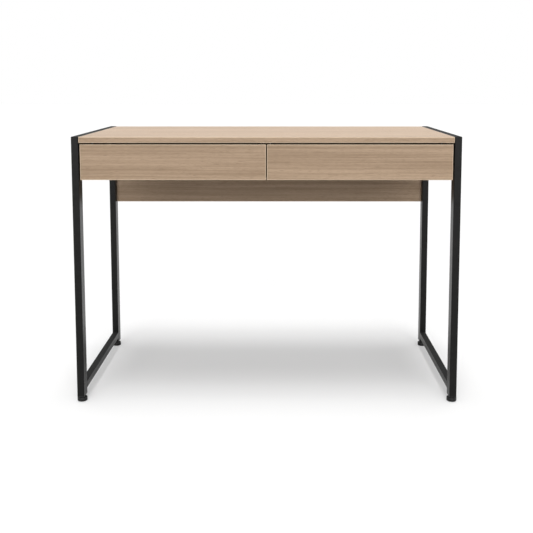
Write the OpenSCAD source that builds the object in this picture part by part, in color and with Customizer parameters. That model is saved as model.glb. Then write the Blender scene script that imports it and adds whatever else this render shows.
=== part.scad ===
// Writing desk with two drawers. A veneered top, case and back panel hang between two
// black steel side frames. Each drawer runs on two full-extension ball-bearing slides.
// X runs along the width, Y from front to back and Z up. The origin is on the floor,
// in the middle of the desk.

/* [Overall] */
// Width over the two steel side frames
desk_w = 1067; // [960:1:1400]
// Depth of the side frames, front to back
desk_d = 560; // [545:1:700]
// Height of the side frames' top above the floor
desk_h = 750; // [720:1:820]

/* [Steel frames] */
// Width of every frame tube, seen from the front
tube_w = 20; // [19:1:26]
// Depth of the legs, and height of the top rails
tube_d = 40; // [38:1:50]
// Height of the foot rails' tube
foot_rail_h = 20; // [16:1:30]
// Wall of the frame tubes
tube_wall = 1.5; // [1.2:0.1:2]
// Radius inside the tubes' corners
tube_inner_r = 0.5; // [0.3:0.1:1]
// Height of the foot rails' underside above the floor
foot_rail_z = 29; // [24:1:140]

/* [Feet] */
// Diameter of a levelling foot's base
foot_d = 28; // [20:1:36]
// Height of a levelling foot's base
foot_h = 12; // [11:1:16]
// Radius of the round edges of a foot's base
foot_edge_r = 2.5; // [1:0.5:4]
// Depth of the socket for the stud in a foot's base
foot_socket = 8; // [5:1:9]
// Diameter of a foot's threaded stud
stud_d = 8; // [6:1:8]
// Length of a foot's threaded stud
stud_len = 45; // [42:1:55]
// Chamfer on a stud's upper end
stud_chamfer = 1; // [0.5:0.1:1.5]
// Width of the thin lock nuts across their flats
nut_w = 13; // [12:1:15]
// Thickness of the thin lock nuts
nut_t = 4; // [3:0.5:5]
// Thickness of an end plug's flange, between the leg and the lock nut
plug_flange_t = 2; // [1:0.5:3]
// Length of an end plug inside the leg
plug_len = 18; // [14:1:24]
// Gap between an end plug's body and the leg's wall, which its fins bridge
plug_gap = 0.8; // [0.5:0.1:1.2]
// Thickness of an end plug's fins
fin_t = 1; // [0.6:0.1:2]
// Number of fins round an end plug
plug_fins = 3; // [2:1:4]

/* [Wooden panels] */
// Thickness of the desk top
top_t = 16; // [15:1:25]
// Depth of the desk top below the frames' top
top_drop = 1; // [0:0.5:4]
// Set-back of the desk top and the drawer fronts behind the legs' front
front_inset = 1; // [0:0.5:6]
// Gap between the wooden panels and the steel frames
frame_gap = 0.3; // [0.1:0.1:1]
// Thickness of the case's two side panels
case_t = 16; // [15:1:22]
// Thickness of the centre divider
divider_t = 19; // [19:1:25]
// Height of the case's side panels and centre divider
case_h = 97; // [95:1:130]
// Thickness of the back panel
back_t = 16; // [15:1:20]
// Distance of the back panel's rear face ahead of the frames' rear plane
back_inset = 4; // [0:1:10]
// Height of the back panel
back_h = 236; // [160:1:330]
// Radius of the eased edges of the panels
arris = 0.8; // [0.4:0.1:1.5]

/* [Drawers] */
// Thickness of the drawer fronts
front_t = 18; // [18:1:22]
// Height of the drawer fronts
front_h = 97.5; // [96.5:0.5:116]
// Gap between the drawer fronts and the desk top
front_top_gap = 4.5; // [2:0.5:8]
// Gap between a drawer front and the leg beside it
front_side_gap = 3.5; // [2:0.5:6]
// Gap between the two drawer fronts
front_mid_gap = 3; // [2:0.5:6]
// Gap between a shut drawer front and the case behind it
front_back_gap = 2; // [1:0.5:3]
// Thickness of the drawer boxes' sides, fronts and backs
box_t = 12; // [12:1:14]
// Height of the drawer boxes
box_h = 72; // [70:1:74]
// Height of the drawer boxes above their fronts' lower edge
box_lift = 14; // [12:1:16]
// Length of the drawer boxes, and of their slides
box_len = 450; // [410:1:500]
// Radius of the boxes' upper edges
box_edge_r = 2; // [1:0.5:4]
// Thickness of the drawer bottoms
bottom_t = 5; // [4:1:6]
// Height of the drawer bottoms above the boxes' lower edge
bottom_up = 8; // [5:1:8]
// Depth of the grooves that hold the drawer bottoms
groove_depth = 6; // [4:1:7]
// Clearance of a drawer bottom in its grooves
groove_fit = 0.15; // [0.1:0.05:0.4]
// Length of the finger groove behind a drawer front's lower edge
pull_w = 260; // [120:1:360]
// Depth of the finger groove into the drawer front
pull_d = 10; // [8:1:12]
// Height of the finger groove
pull_h = 18; // [14:1:20]
// Radius of the finger groove's roof and ends
pull_r = 6; // [4:0.5:7]

/* [Drawer slides] */
// How much shorter than its slide a middle rail is
mid_short = 30; // [20:1:40]
// How much less than its slide's length a drawer pulls out before the stops meet
travel_short = 20; // [16:1:35]
// Height of the stops on the rails' webs
stop_h = 10; // [6:1:11]
// Length of a stop that is pressed out of a web
stop_l = 3; // [2:0.5:4]
// Gap at the stops with the drawer shut or fully out, and beside them
stop_gap = 0.2; // [0.1:0.1:0.4]
// Width of the gap that a slide fills
slide_w = 12.7; // [12.5:0.1:13.5]
// Height of a slide over its ball tracks
slide_h = 45; // [42:1:46]
// Thickness of the slides' sheet steel
sheet = 1.2; // [1:0.1:1.3]
// Gap between the webs of the cabinet rail and the middle rail
web_gap = 1.2; // [1.1:0.1:1.4]
// Diameter of the slides' balls
ball_d = 3.2; // [3:0.1:3.3]
// Running clearance between a ball and its tracks
ball_fit = 0.15; // [0.05:0.05:0.2]
// Clearance between a ball and its pocket in the cage
pocket_fit = 0.05; // [0.02:0.01:0.1]
// Number of balls in each row
ball_count = 6; // [3:1:16]
// Distance of the outer cage's stops from the ends of their rails
stop_in = 27.8; // [20:0.1:30]
// Thickness of the ball cages
cage_t = 0.5; // [0.3:0.1:0.6]
// Length of a ball cage past its end balls
cage_end = 10; // [5:1:12]
// Width of a ball cage's lip beyond its balls
cage_lip = 0.6; // [0.3:0.1:0.8]
// Room between an inner cage's web and the track above it
cage_room = 0.35; // [0.3:0.05:0.4]
// Outer radius of the bends in the slides and the brackets
bend_r = 2; // [1.4:0.1:2.4]
// Width of the long holes in the middle rails
slot_w = 12; // [8:1:16]
// Length of the long holes in the middle rails
slot_l = 60; // [30:1:90]
// Length of the slots for adjusting in the cabinet rails and drawer rails
adjust_l = 9; // [6:0.5:14]
// Width of those slots
adjust_w = 4.4; // [3.5:0.1:5]
// Gap between the ends of a drawer rail and the ends of its drawer box
rail_inset = 1; // [0.5:0.5:4]

/* [Fasteners] */
// Diameter of the wood screws
screw_d = 3.5; // [3:0.1:4]
// Diameter of the wood screws' heads
head_d = 7; // [6.5:0.1:7.5]
// Height of the wood screws' heads
head_h = 2; // [1.8:0.1:2.4]
// Length of the cross recesses in the screws' heads and the cam locks
recess_l = 3.5; // [3:0.1:4]
// Width of the cross recesses
recess_w = 1; // [0.6:0.1:1.2]
// Depth of the cross recesses
recess_h = 1.2; // [0.8:0.1:1.4]
// Length of the wood screws' points
point_len = 3; // [2:0.5:4]
// Clearance round a wood screw
screw_fit = 0.1; // [0.05:0.05:0.2]
// Length of the screws that hold the slides
slide_screw_len = 10; // [8:1:10]
// Length of the screws that hold the brackets
bracket_screw_len = 12; // [10:1:14]
// Length of the screws that hold the drawer fronts
front_screw_len = 25; // [20:1:28]
// Length of the screws at the drawer boxes' corners
corner_screw_len = 35; // [25:1:40]
// Length of the screws that hold the back panel to the case
back_screw_len = 45; // [35:1:60]
// Diameter of the frame bolts
bolt_d = 6; // [5:1:6]
// Diameter of the frame bolts' button heads
bolt_head_d = 10.5; // [10:0.5:12]
// Height of the frame bolts' button heads
bolt_head_h = 3.3; // [2.5:0.1:4]
// Width of the hexagon sockets in the bolt heads, across their corners
socket_w = 4.6; // [4:0.1:5]
// Depth of the hexagon sockets in the bolt heads
socket_h = 2; // [1.5:0.1:2.4]
// Length of a frame bolt inside its rivet nut
bolt_grip = 11; // [8:1:13]
// Clearance of a bolt in a rivet nut, and of a stud in its nut and plug
thread_fit = 0.05; // [0.02:0.01:0.1]
// Distance of the lower frame bolts from the legs' inner edges
leg_bolt_in = 8; // [7:0.5:12]
// Height of the lower frame bolts above the case's lower edge
leg_bolt_up = 13; // [8:1:14]
// Distance of the upper frame bolts before and behind the middle of the desk
rail_bolt_y = 215; // [205:1:218]
// Depth of the upper frame bolts below the frames' top
rail_bolt_down = 29; // [28:1:31]
// Diameter of the rivet nuts' sleeves
rivet_d = 9; // [8.5:0.1:9.5]
// Length of the rivet nuts
rivet_len = 14; // [13.5:0.5:15]
// Diameter of the bulge that holds a rivet nut behind the tube's wall
bulge_d = 11.5; // [10.5:0.5:12]
// Length of that bulge
bulge_len = 3.5; // [2:0.5:5]
// Diameter of the cam locks in the back panel
cam_d = 15; // [13:1:16]
// Depth of the cam locks in the back panel
cam_t = 13; // [12.5:0.5:13.5]
// Distance of the cam locks from the back panel's ends
cam_inset = 34; // [25:1:45]
// Diameter of the cam locks' dowels
dowel_d = 7; // [6:0.5:7.5]
// Height of the lower cam locks above the back panel's lower edge
cam_up = 33; // [20:1:60]
// Depth of the upper cam locks below the desk top
cam_down = 48; // [42:1:52]
// Diameter of a dowel's neck, where its cam lock grips it
neck_d = 4; // [3:0.5:5]
// Length of a dowel's neck
neck_len = 5; // [4:0.5:6]
// Clearance round a dowel and round a cam lock
cam_fit = 0.25; // [0.1:0.05:0.4]
// Height of the back panel's lower screws above the case's lower edge
back_screw_up = 32; // [28:1:38]
// Depth of the back panel's upper screws below the desk top
back_screw_down = 15; // [10:1:18]
// Distance of a slide's end screws from the ends of its cabinet rail
cabinet_hole_in = 37; // [25:1:60]
// Distance of a slide's end screws from the ends of its drawer rail
drawer_hole_in = 60; // [30:1:90]
// Distance of the front's screws from the middle of their drawer
front_screw_x = 150; // [60:1:190]
// Distance of the front's screws above and below the middle of their drawer
front_screw_z = 18; // [12:1:20]
// Room between the heads of the corner screws and the drawer rails
corner_screw_gap = 0.3; // [0.1:0.1:0.5]
// Clearance of the screws in the brackets, and of the bolts in the case
hole_fit = 0.25; // [0.15:0.05:0.5]
// Distance of the brackets before and behind the middle of the case
bracket_y = 180; // [120:1:185]
// Set-off of the right bay's brackets along the divider, which keeps the screws apart
bracket_step = 30; // [20:1:60]
// Length of a bracket's two legs
bracket_l = 24; // [20:1:24]
// Width of a bracket
bracket_w = 20; // [14:1:30]
// Thickness of a bracket
bracket_t = 2; // [1.5:0.5:3]

/* [Hidden] */
cut = 1; // how far a cutting shape runs past the face it cuts
half_w = desk_w / 2;
half_d = desk_d / 2;
inner_x = half_w - tube_w; // inner faces of the side frames
panel_x = inner_x - frame_gap; // ends of the top and the back panel
leg_x = half_w - tube_w / 2;
leg_y = half_d - tube_d / 2;
leg_z = foot_h + nut_t + plug_flange_t; // lower ends of the leg tubes
top_z = desk_h - top_drop - top_t; // underside of the desk top
back_y1 = half_d - back_inset;
back_y0 = back_y1 - back_t;
back_mid_y = back_y1 - back_t / 2;
back_z = top_z - back_h; // lower edge of the back panel
case_z = top_z - case_h; // lower edges of the case's panels

// Drawer fronts and boxes
front_y0 = -half_d + front_inset;
front_y1 = front_y0 + front_t;
front_z = top_z - front_top_gap - front_h; // lower edges of the drawer fronts
front_w = inner_x - front_side_gap - front_mid_gap / 2;
case_y0 = front_y1 + front_back_gap;
case_x = panel_x - case_t; // inner faces of the case's side panels
bay_w = case_x - divider_t / 2;
bay_mid_x = case_x - bay_w / 2;
box_w = bay_w - 2 * slide_w;
box_z = front_z + box_lift;
box_mid_z = box_z + box_h / 2;
box_inner_w = box_w - 2 * box_t;

// Slides: a half section is drawn from the slide's centre line upwards
track_r = ball_d / 2 + ball_fit;
track_c = track_r * cos(30); // half width of a track, which wraps a third of its balls
mid_x = sheet + web_gap; // outer face of the middle rail's web
ball_x1 = mid_x + sheet / 2 + (track_r + sheet) * cos(30);
ball_x2 = ball_x1 + (2 * track_r + sheet) * cos(30);
ball_z1 = slide_h / 2 - sheet - track_r;
flange_z1 = ball_z1 + track_r / 2; // underside of the cabinet rail's flange
flange_z2 = ball_z1 - track_r / 2 - sheet; // underside of the middle rail's flange
ball_z2 = flange_z2 - track_r / 2;
flange_z3 = ball_z2 - track_r / 2 - sheet; // underside of the drawer rail's flange
slide_len = box_len;
mid_len = slide_len - mid_short;
slide_travel = slide_len - travel_short;
slide_y0 = case_y0 + rail_inset;
mid_y0 = slide_y0 + rail_inset;
rail_y0 = front_y1 + rail_inset;
rail_len = box_len - 2 * rail_inset;
// With the drawer fully out, the outer cage just fits between its two stops
cage_len = mid_y0 + mid_len - slide_travel / 2 - slide_y0 - 2 * (stop_in + stop_gap);
ball_pitch = (cage_len - 2 * cage_end) / (ball_count - 1);
// A cage stays in the overlap of its two rails, also with the drawer out
cage_y1 = (slide_y0 + mid_y0 + mid_len) / 2;
cage_y2 = (mid_y0 + rail_y0 + rail_len) / 2;
// The inner cage's web passes under the lowest point of the outer track
cage_x2 = ball_x1 + cage_room;
cage_z2 = ball_z2 - cage_room;

// Distance of the inner cage's stops from the ends of their rails, found the same way
inner_stop = (rail_y0 + rail_len - mid_y0 - slide_travel / 2 - cage_len) / 2 - stop_gap;

// Places of the fasteners
hole_y = [cabinet_hole_in, slide_len / 2, slide_len - cabinet_hole_in];
rail_hole_y = [drawer_hole_in, rail_len / 2, rail_len - drawer_hole_in];
// Two frame bolts at each corner, one in the leg and one in the top rail, as [y, z]
leg_bolt = [half_d - tube_d + leg_bolt_in, case_z + leg_bolt_up];
rail_bolt = [rail_bolt_y, desk_h - rail_bolt_down];
cam_z = [back_z + cam_up, top_z - cam_down];
back_screw_z = [case_z + back_screw_up, top_z - back_screw_down];
// Corner screws clear the drawer rail, above and below the middle of a drawer box
corner_screw_z = flange_z3 + sheet + head_d / 2 + corner_screw_gap;

/* Shared shapes */

module flip_x(on) {
  if (on) {
    mirror([1, 0, 0]) children();
  } else {
    children();
  }
}

module flip_y(on) {
  if (on) {
    mirror([0, 1, 0]) children();
  } else {
    children();
  }
}

// Rectangle with round corners, its lower left corner on the origin
module round_rect(w, h, r) {
  translate([r, 0]) square([w - 2 * r, h]);
  translate([0, r]) square([w, h - 2 * r]);
  for (x = [r, w - r], y = [r, h - r]) {
    translate([x, y]) circle(r, $fn = 32);
  }
}

// Panel with all its edges eased to a quarter round
module board(w, d, h, r) {
  intersection() {
    linear_extrude(h) round_rect(w, d, r);
    translate([0, d, 0]) rotate([90, 0, 0]) linear_extrude(d) round_rect(w, h, r);
    rotate([90, 0, 90]) linear_extrude(w) round_rect(d, h, r);
  }
}

// Section of a frame tube, its outer corner on the origin
module tube_section(w, h) {
  difference() {
    round_rect(w, h, tube_inner_r + tube_wall);
    translate([tube_wall, tube_wall])
      round_rect(w - 2 * tube_wall, h - 2 * tube_wall, tube_inner_r);
  }
}

// Countersunk wood screw pointing down, its head flush with z = 0
module sunk_screw(len, grow = 0) {
  translate([0, 0, -head_h]) cylinder(h = head_h, d1 = screw_d + grow, d2 = head_d + grow, $fn = 32);
  translate([0, 0, -len + point_len]) cylinder(h = len - point_len - head_h, d = screw_d + grow, $fn = 32);
  translate([0, 0, -len]) cylinder(h = point_len, d1 = 1 + grow, d2 = screw_d + grow, $fn = 32);
}

// Hole for that screw, with room round its sides and at its point
module sunk_hole(len) {
  sunk_screw(len, 2 * screw_fit);
  translate([0, 0, -len - screw_fit]) cylinder(h = 2 * screw_fit, d = 1, $fn = 32);
  cylinder(h = cut, d = head_d + 2 * screw_fit, $fn = 32);
}

// Cross recess for a screwdriver, cut down from z = 0
module cross_recess() {
  for (a = [0, 90]) {
    rotate([0, 0, a]) translate([-recess_l / 2, -recess_w / 2, -recess_h])
      cube([recess_l, recess_w, recess_h + cut]);
  }
}

module sunk_screw_piece(len) {
  color("silver") difference() {
    sunk_screw(len);
    cross_recess();
  }
}

// Pan-head wood screw pointing down, the underside of its head on z = 0
module pan_shank(len, grow = 0) {
  translate([0, 0, -len + point_len]) cylinder(h = len - point_len, d = screw_d + grow, $fn = 32);
  translate([0, 0, -len]) cylinder(h = point_len, d1 = 1 + grow, d2 = screw_d + grow, $fn = 32);
}

module pan_screw_piece(len) {
  dome_r = (head_d * head_d / 4 + head_h * head_h) / (2 * head_h);
  color("silver") difference() {
    union() {
      pan_shank(len);
      intersection() {
        cylinder(h = head_h, d = head_d, $fn = 32);
        translate([0, 0, head_h - dome_r]) sphere(dome_r, $fn = 48);
      }
    }
    translate([0, 0, head_h]) cross_recess();
  }
}

/* Steel frames */

// The corner that a 45 degree mitre takes off a leg, at the front upper corner
module leg_mitre() {
  translate([-half_w - cut, 0, 0]) rotate([90, 0, 90]) linear_extrude(tube_w + 2 * cut)
    polygon([
      [-half_d - cut, desk_h + cut],
      [-half_d + tube_d + cut, desk_h - tube_d - cut],
      [-half_d + tube_d + cut, desk_h + cut],
    ]);
}

// The corner that the same mitre takes off a top rail
module rail_mitre() {
  translate([-half_w - cut, 0, 0]) rotate([90, 0, 90]) linear_extrude(tube_w + 2 * cut)
    polygon([
      [-half_d - cut, desk_h + cut],
      [-half_d - cut, desk_h - tube_d - cut],
      [-half_d + tube_d + cut, desk_h - tube_d - cut],
    ]);
}

// Hole through the inner wall of a tube, for a rivet nut
module rivet_hole() {
  translate([0, 0, -tube_wall - cut])
    cylinder(h = tube_wall + 2 * cut, d = rivet_d + 2 * thread_fit, $fn = 32);
}

// Left leg; the right side is its mirror image
module leg(rear) {
  color("dimgray") difference() {
    flip_y(rear) difference() {
      translate([-half_w, -half_d, leg_z]) linear_extrude(desk_h - leg_z) tube_section(tube_w, tube_d);
      leg_mitre();
    }
    at_bolts() rivet_hole();
    at_dowels() rivet_hole();
  }
}

module top_rail() {
  color("dimgray") difference() {
    translate([-half_w, half_d, desk_h - tube_d]) rotate([90, 0, 0])
      linear_extrude(desk_d) tube_section(tube_w, tube_d);
    rail_mitre();
    mirror([0, 1, 0]) rail_mitre();
    at_bolts() rivet_hole();
  }
}

module foot_rail() {
  color("dimgray") translate([-half_w, half_d - tube_d, foot_rail_z]) rotate([90, 0, 0])
    linear_extrude(desk_d - 2 * tube_d) tube_section(tube_w, foot_rail_h);
}

/* Levelling feet */

module at_legs() {
  for (x = [-leg_x, leg_x], y = [-leg_y, leg_y]) {
    translate([x, y, 0]) children();
  }
}

// Plastic end plug: flange, body and fins that grip the tube, round a threaded bore
module leg_plug() {
  inside_w = tube_w - 2 * tube_wall;
  inside_d = tube_d - 2 * tube_wall;
  body_w = inside_w - 2 * plug_gap;
  body_d = inside_d - 2 * plug_gap;
  outer_r = tube_inner_r + tube_wall;
  fin_step = plug_len / (plug_fins + 1);
  color([0.1, 0.1, 0.1]) difference() {
    union() {
      translate([-tube_w / 2, -tube_d / 2, leg_z - plug_flange_t])
        linear_extrude(plug_flange_t) round_rect(tube_w, tube_d, outer_r);
      translate([-body_w / 2, -body_d / 2, leg_z])
        linear_extrude(plug_len) round_rect(body_w, body_d, tube_inner_r);
      for (i = [1:plug_fins]) {
        translate([-inside_w / 2, -inside_d / 2, leg_z + i * fin_step - fin_t / 2])
          linear_extrude(fin_t) round_rect(inside_w, inside_d, tube_inner_r);
      }
    }
    translate([0, 0, leg_z - plug_flange_t - cut])
      cylinder(h = plug_flange_t + plug_len + 2 * cut, d = stud_d + 2 * thread_fit, $fn = 48);
  }
}

module leg_plugs() {
  at_legs() leg_plug();
}

// Thin hexagon nut that locks a stud against its end plug
module lock_nuts() {
  color("silver") at_legs() difference() {
    translate([0, 0, foot_h]) cylinder(h = nut_t, d = nut_w / cos(30), $fn = 6);
    translate([0, 0, foot_h - cut])
      cylinder(h = nut_t + 2 * cut, d = stud_d + 2 * thread_fit, $fn = 48);
  }
}

// Half outline of a foot's base, with round upper and lower edges
module foot_outline() {
  r = foot_edge_r;
  square([foot_d / 2 - r, foot_h]);
  translate([0, r]) square([foot_d / 2, foot_h - 2 * r]);
  for (z = [r, foot_h - r]) {
    translate([foot_d / 2 - r, z]) circle(r, $fn = 32);
  }
}

module foot(right, rear) {
  color([0.1, 0.1, 0.1]) translate([right ? leg_x : -leg_x, rear ? leg_y : -leg_y, 0])
    difference() {
      rotate_extrude($fn = 96) foot_outline();
      translate([0, 0, foot_h - foot_socket])
        cylinder(h = foot_socket + cut, d = stud_d, $fn = 48);
    }
}

// Stud with a chamfered upper end, held in the foot's socket
module stud(right, rear) {
  color("silver") translate([right ? leg_x : -leg_x, rear ? leg_y : -leg_y, foot_h - foot_socket]) {
    cylinder(h = stud_len - stud_chamfer, d = stud_d, $fn = 48);
    translate([0, 0, stud_len - stud_chamfer])
      cylinder(h = stud_chamfer, d1 = stud_d, d2 = stud_d - 2 * stud_chamfer, $fn = 48);
  }
}

/* Places of the case's fasteners */

// Frame bolts and their rivet nuts point outwards along X from the case's side panels
module at_bolts() {
  for (right = [false, true], end = [-1, 1], place = [leg_bolt, rail_bolt]) {
    flip_x(right) translate([-inner_x, end * place[0], place[1]]) rotate([0, 90, 0]) children();
  }
}

// Cam dowels and their rivet nuts, on the rear legs' inner faces
module at_dowels() {
  for (right = [false, true], z = cam_z) {
    flip_x(right) translate([-inner_x, back_mid_y, z]) rotate([0, 90, 0]) children();
  }
}

// Brackets: the origin is the corner under the top, one leg runs along +X, one down
module at_brackets() {
  for (y = [-bracket_y, bracket_y]) {
    for (right = [false, true]) {
      flip_x(right) translate([-case_x, y, top_z]) children();
    }
    translate([-divider_t / 2, y, top_z]) mirror([1, 0, 0]) children();
    translate([divider_t / 2, y - sign(y) * bracket_step, top_z]) children();
  }
  for (x = [-bay_mid_x, bay_mid_x]) {
    translate([x, back_y0, top_z]) rotate([0, 0, -90]) children();
  }
}

// Screws that hold the back panel to the case's rear edges, pointing forwards
module at_back_screws() {
  for (x = [-panel_x + case_t / 2, 0, panel_x - case_t / 2], z = back_screw_z) {
    translate([x, back_y1, z]) rotate([-90, 0, 0]) children();
  }
}

// Origin of one slide: the middle of its height, on the panel that carries it
module at_slide(bay_right, slide_right) {
  bay_x = bay_right ? bay_mid_x : -bay_mid_x;
  translate([bay_x, 0, box_mid_z]) flip_x(slide_right) translate([-bay_w / 2, 0, 0]) children();
}

// Heads of the screws that hold a cabinet rail, pointing into the case
module at_cabinet_rail_screws() {
  for (y = hole_y) {
    translate([sheet, slide_y0 + y, 0]) rotate([0, 90, 0]) children();
  }
}

// Heads of the screws that hold a drawer rail, pointing into the drawer's side
module at_drawer_rail_screws() {
  for (y = rail_hole_y) {
    translate([slide_w - sheet, rail_y0 + y, 0]) rotate([0, -90, 0]) children();
  }
}

/* Wooden case */

module desk_top() {
  color("tan") difference() {
    translate([-panel_x, -half_d + front_inset, top_z])
      board(2 * panel_x, desk_d - 2 * front_inset, top_t, arris);
    at_brackets() bracket_top_screw() pan_hole();
  }
}

module back_panel() {
  color("tan") difference() {
    translate([-panel_x, back_y0, back_z]) board(2 * panel_x, back_t, top_z - back_z, arris);
    at_back_screws() sunk_hole(back_screw_len);
    at_brackets() bracket_side_screw() pan_hole();
    at_dowels() translate([0, 0, frame_gap - cut])
      cylinder(h = cam_inset + cut, d = dowel_d + 2 * cam_fit, $fn = 32);
    at_cams() translate([0, 0, -cam_t - cam_fit])
      cylinder(h = cam_t + cam_fit + cut, d = cam_d + 2 * cam_fit, $fn = 48);
  }
}

// Cam locks sit in the back panel's rear face
module at_cams() {
  for (x = [-panel_x + cam_inset, panel_x - cam_inset], z = cam_z) {
    translate([x, back_y1, z]) rotate([-90, 0, 0]) children();
  }
}

module case_side(right) {
  color("tan") difference() {
    flip_x(right) translate([-panel_x, case_y0, case_z])
      board(case_t, back_y0 - case_y0, top_z - case_z, arris);
    at_bolts() translate([0, 0, frame_gap - cut])
      cylinder(h = case_t + 2 * cut, d = bolt_d + 2 * hole_fit, $fn = 32);
    at_back_screws() sunk_hole(back_screw_len);
    at_brackets() bracket_side_screw() pan_hole();
    at_slide(right, right) at_cabinet_rail_screws() sunk_hole(slide_screw_len);
  }
}

module centre_divider() {
  color("tan") difference() {
    translate([-divider_t / 2, case_y0, case_z])
      board(divider_t, back_y0 - case_y0, top_z - case_z, arris);
    at_back_screws() sunk_hole(back_screw_len);
    at_brackets() bracket_side_screw() pan_hole();
    at_slide(false, true) at_cabinet_rail_screws() sunk_hole(slide_screw_len);
    at_slide(true, false) at_cabinet_rail_screws() sunk_hole(slide_screw_len);
  }
}

// Hole for a bracket's screw
module pan_hole() {
  pan_shank(bracket_screw_len - bracket_t, 2 * screw_fit);
  translate([0, 0, -bracket_screw_len + bracket_t - screw_fit])
    cylinder(h = 2 * screw_fit, d = 1, $fn = 32);
  cylinder(h = cut, d = screw_d + 2 * screw_fit, $fn = 32);
}

// Where a bracket's screw enters the panel beside it, pointing into that panel
module bracket_side_screw() {
  translate([0, 0, -bracket_l / 2 - bracket_t / 2]) rotate([0, 90, 0]) children();
}

// Where a bracket's screw enters the desk top, pointing up
module bracket_top_screw() {
  translate([bracket_l / 2 + bracket_t / 2, 0, 0]) rotate([180, 0, 0]) children();
}

// Angle bracket with a bent corner, round ends and two holes
module bracket() {
  color("silver") difference() {
    translate([0, bracket_w / 2, 0]) rotate([90, 0, 0]) linear_extrude(bracket_w) difference() {
      translate([0, -bracket_l]) square([bracket_l, bracket_l]);
      translate([bracket_t, -bracket_l - cut]) square([bracket_l, bracket_l - bracket_t + cut]);
      bend_cut(0, 0);
    }
    bracket_side_screw() bracket_hole();
    bracket_top_screw() bracket_hole();
  }
}

module bracket_hole() {
  translate([0, 0, -cut]) cylinder(h = bracket_t + 2 * cut, d = screw_d + 2 * hole_fit, $fn = 32);
}

module case_brackets() {
  at_brackets() bracket();
}

module bracket_screws() {
  at_brackets() {
    bracket_side_screw() translate([0, 0, bracket_t]) pan_screw_piece(bracket_screw_len);
    bracket_top_screw() translate([0, 0, bracket_t]) pan_screw_piece(bracket_screw_len);
  }
}

// Screws of the back panel and of the cabinet rails
module case_screws() {
  at_back_screws() sunk_screw_piece(back_screw_len);
  for (bay_right = [false, true], slide_right = [false, true]) {
    at_slide(bay_right, slide_right) at_cabinet_rail_screws() sunk_screw_piece(slide_screw_len);
  }
}

// Button-head bolts from inside the case into the legs
module frame_bolts() {
  dome_r = (bolt_head_d * bolt_head_d / 4 + bolt_head_h * bolt_head_h) / (2 * bolt_head_h);
  color("silver") at_bolts() translate([0, 0, frame_gap + case_t]) difference() {
    union() {
      translate([0, 0, -frame_gap - case_t - bolt_grip])
        cylinder(h = frame_gap + case_t + bolt_grip, d = bolt_d, $fn = 32);
      intersection() {
        cylinder(h = bolt_head_h, d = bolt_head_d, $fn = 48);
        translate([0, 0, bolt_head_h - dome_r]) sphere(dome_r, $fn = 64);
      }
    }
    translate([0, 0, bolt_head_h - socket_h]) cylinder(h = socket_h + cut, d = socket_w, $fn = 6);
  }
}

// Sleeve with a bulge behind the tube's wall
module rivet_nut() {
  difference() {
    union() {
      translate([0, 0, -rivet_len]) cylinder(h = rivet_len, d = rivet_d, $fn = 48);
      translate([0, 0, -tube_wall - bulge_len]) cylinder(h = bulge_len, d = bulge_d, $fn = 48);
    }
    translate([0, 0, -rivet_len - cut])
      cylinder(h = rivet_len + 2 * cut, d = bolt_d + 2 * thread_fit, $fn = 32);
  }
}

module rivet_nuts() {
  color("silver") {
    at_bolts() rivet_nut();
    at_dowels() rivet_nut();
  }
}

// Quarter-turn locks with a screwdriver slot and a hollow that grips the dowel's neck
module cam_locks() {
  hollow_d = dowel_d + 4 * cam_fit;
  color("silver") difference() {
    at_cams() translate([0, 0, -cam_t]) difference() {
      cylinder(h = cam_t, d = cam_d, $fn = 48);
      translate([0, 0, cam_t]) cross_recess();
    }
    at_dowels() cylinder(h = frame_gap + cam_inset + hollow_d / 2, d = hollow_d, $fn = 32);
  }
}

// Steel dowel: thread in the rivet nut, shank, neck and head in the cam lock
module cam_dowels() {
  shank_len = frame_gap + cam_inset - neck_len;
  color("silver") at_dowels() {
    translate([0, 0, -bolt_grip]) cylinder(h = bolt_grip, d = bolt_d, $fn = 32);
    cylinder(h = shank_len, d = dowel_d, $fn = 32);
    translate([0, 0, shank_len]) cylinder(h = neck_len, d = neck_d, $fn = 32);
    translate([0, 0, shank_len + neck_len]) cylinder(h = neck_len / 2, d = dowel_d, $fn = 32);
  }
}

/* Drawers */

// Screws from the box's corners into its front and back, drawn for the left drawer
module at_corner_screws() {
  for (right = [false, true], y = [front_y1 + box_t / 2, front_y1 + box_len - box_t / 2]) {
    for (z = [-corner_screw_z, corner_screw_z]) {
      translate([0, y, box_mid_z + z]) flip_x(right) translate([-box_w / 2, 0, 0])
        rotate([0, -90, 0]) children();
    }
  }
}

// Screws from inside the box into the drawer's front
module at_front_screws() {
  for (x = [-front_screw_x, front_screw_x], z = [-front_screw_z, front_screw_z]) {
    translate([x, front_y1 + box_t, box_mid_z + z]) rotate([-90, 0, 0]) children();
  }
}

module at_bay(right) {
  translate([right ? bay_mid_x : -bay_mid_x, 0, 0]) children();
}

// Visible front with eased edges and a finger groove behind its lower edge
module drawer_front(right) {
  start_x = right ? front_mid_gap / 2 : -front_mid_gap / 2 - front_w;
  color("tan") difference() {
    translate([start_x, front_y0, front_z]) board(front_w, front_t, front_h, arris);
    at_bay(right) at_front_screws() sunk_hole(front_screw_len);
    translate([start_x + front_w / 2, 0, 0]) finger_groove();
  }
}

// Groove with a round roof and round ends, open at the back and below
module finger_groove() {
  intersection() {
    translate([-pull_w / 2, 0, 0]) rotate([90, 0, 90]) linear_extrude(pull_w)
      translate([front_y1 - pull_d, front_z - pull_h])
        round_rect(2 * pull_d, 2 * pull_h, pull_r);
    translate([-pull_w / 2, front_y1 - pull_d, front_z - cut])
      linear_extrude(pull_h + 2 * cut) round_rect(pull_w, 2 * pull_d, pull_r);
  }
}

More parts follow.
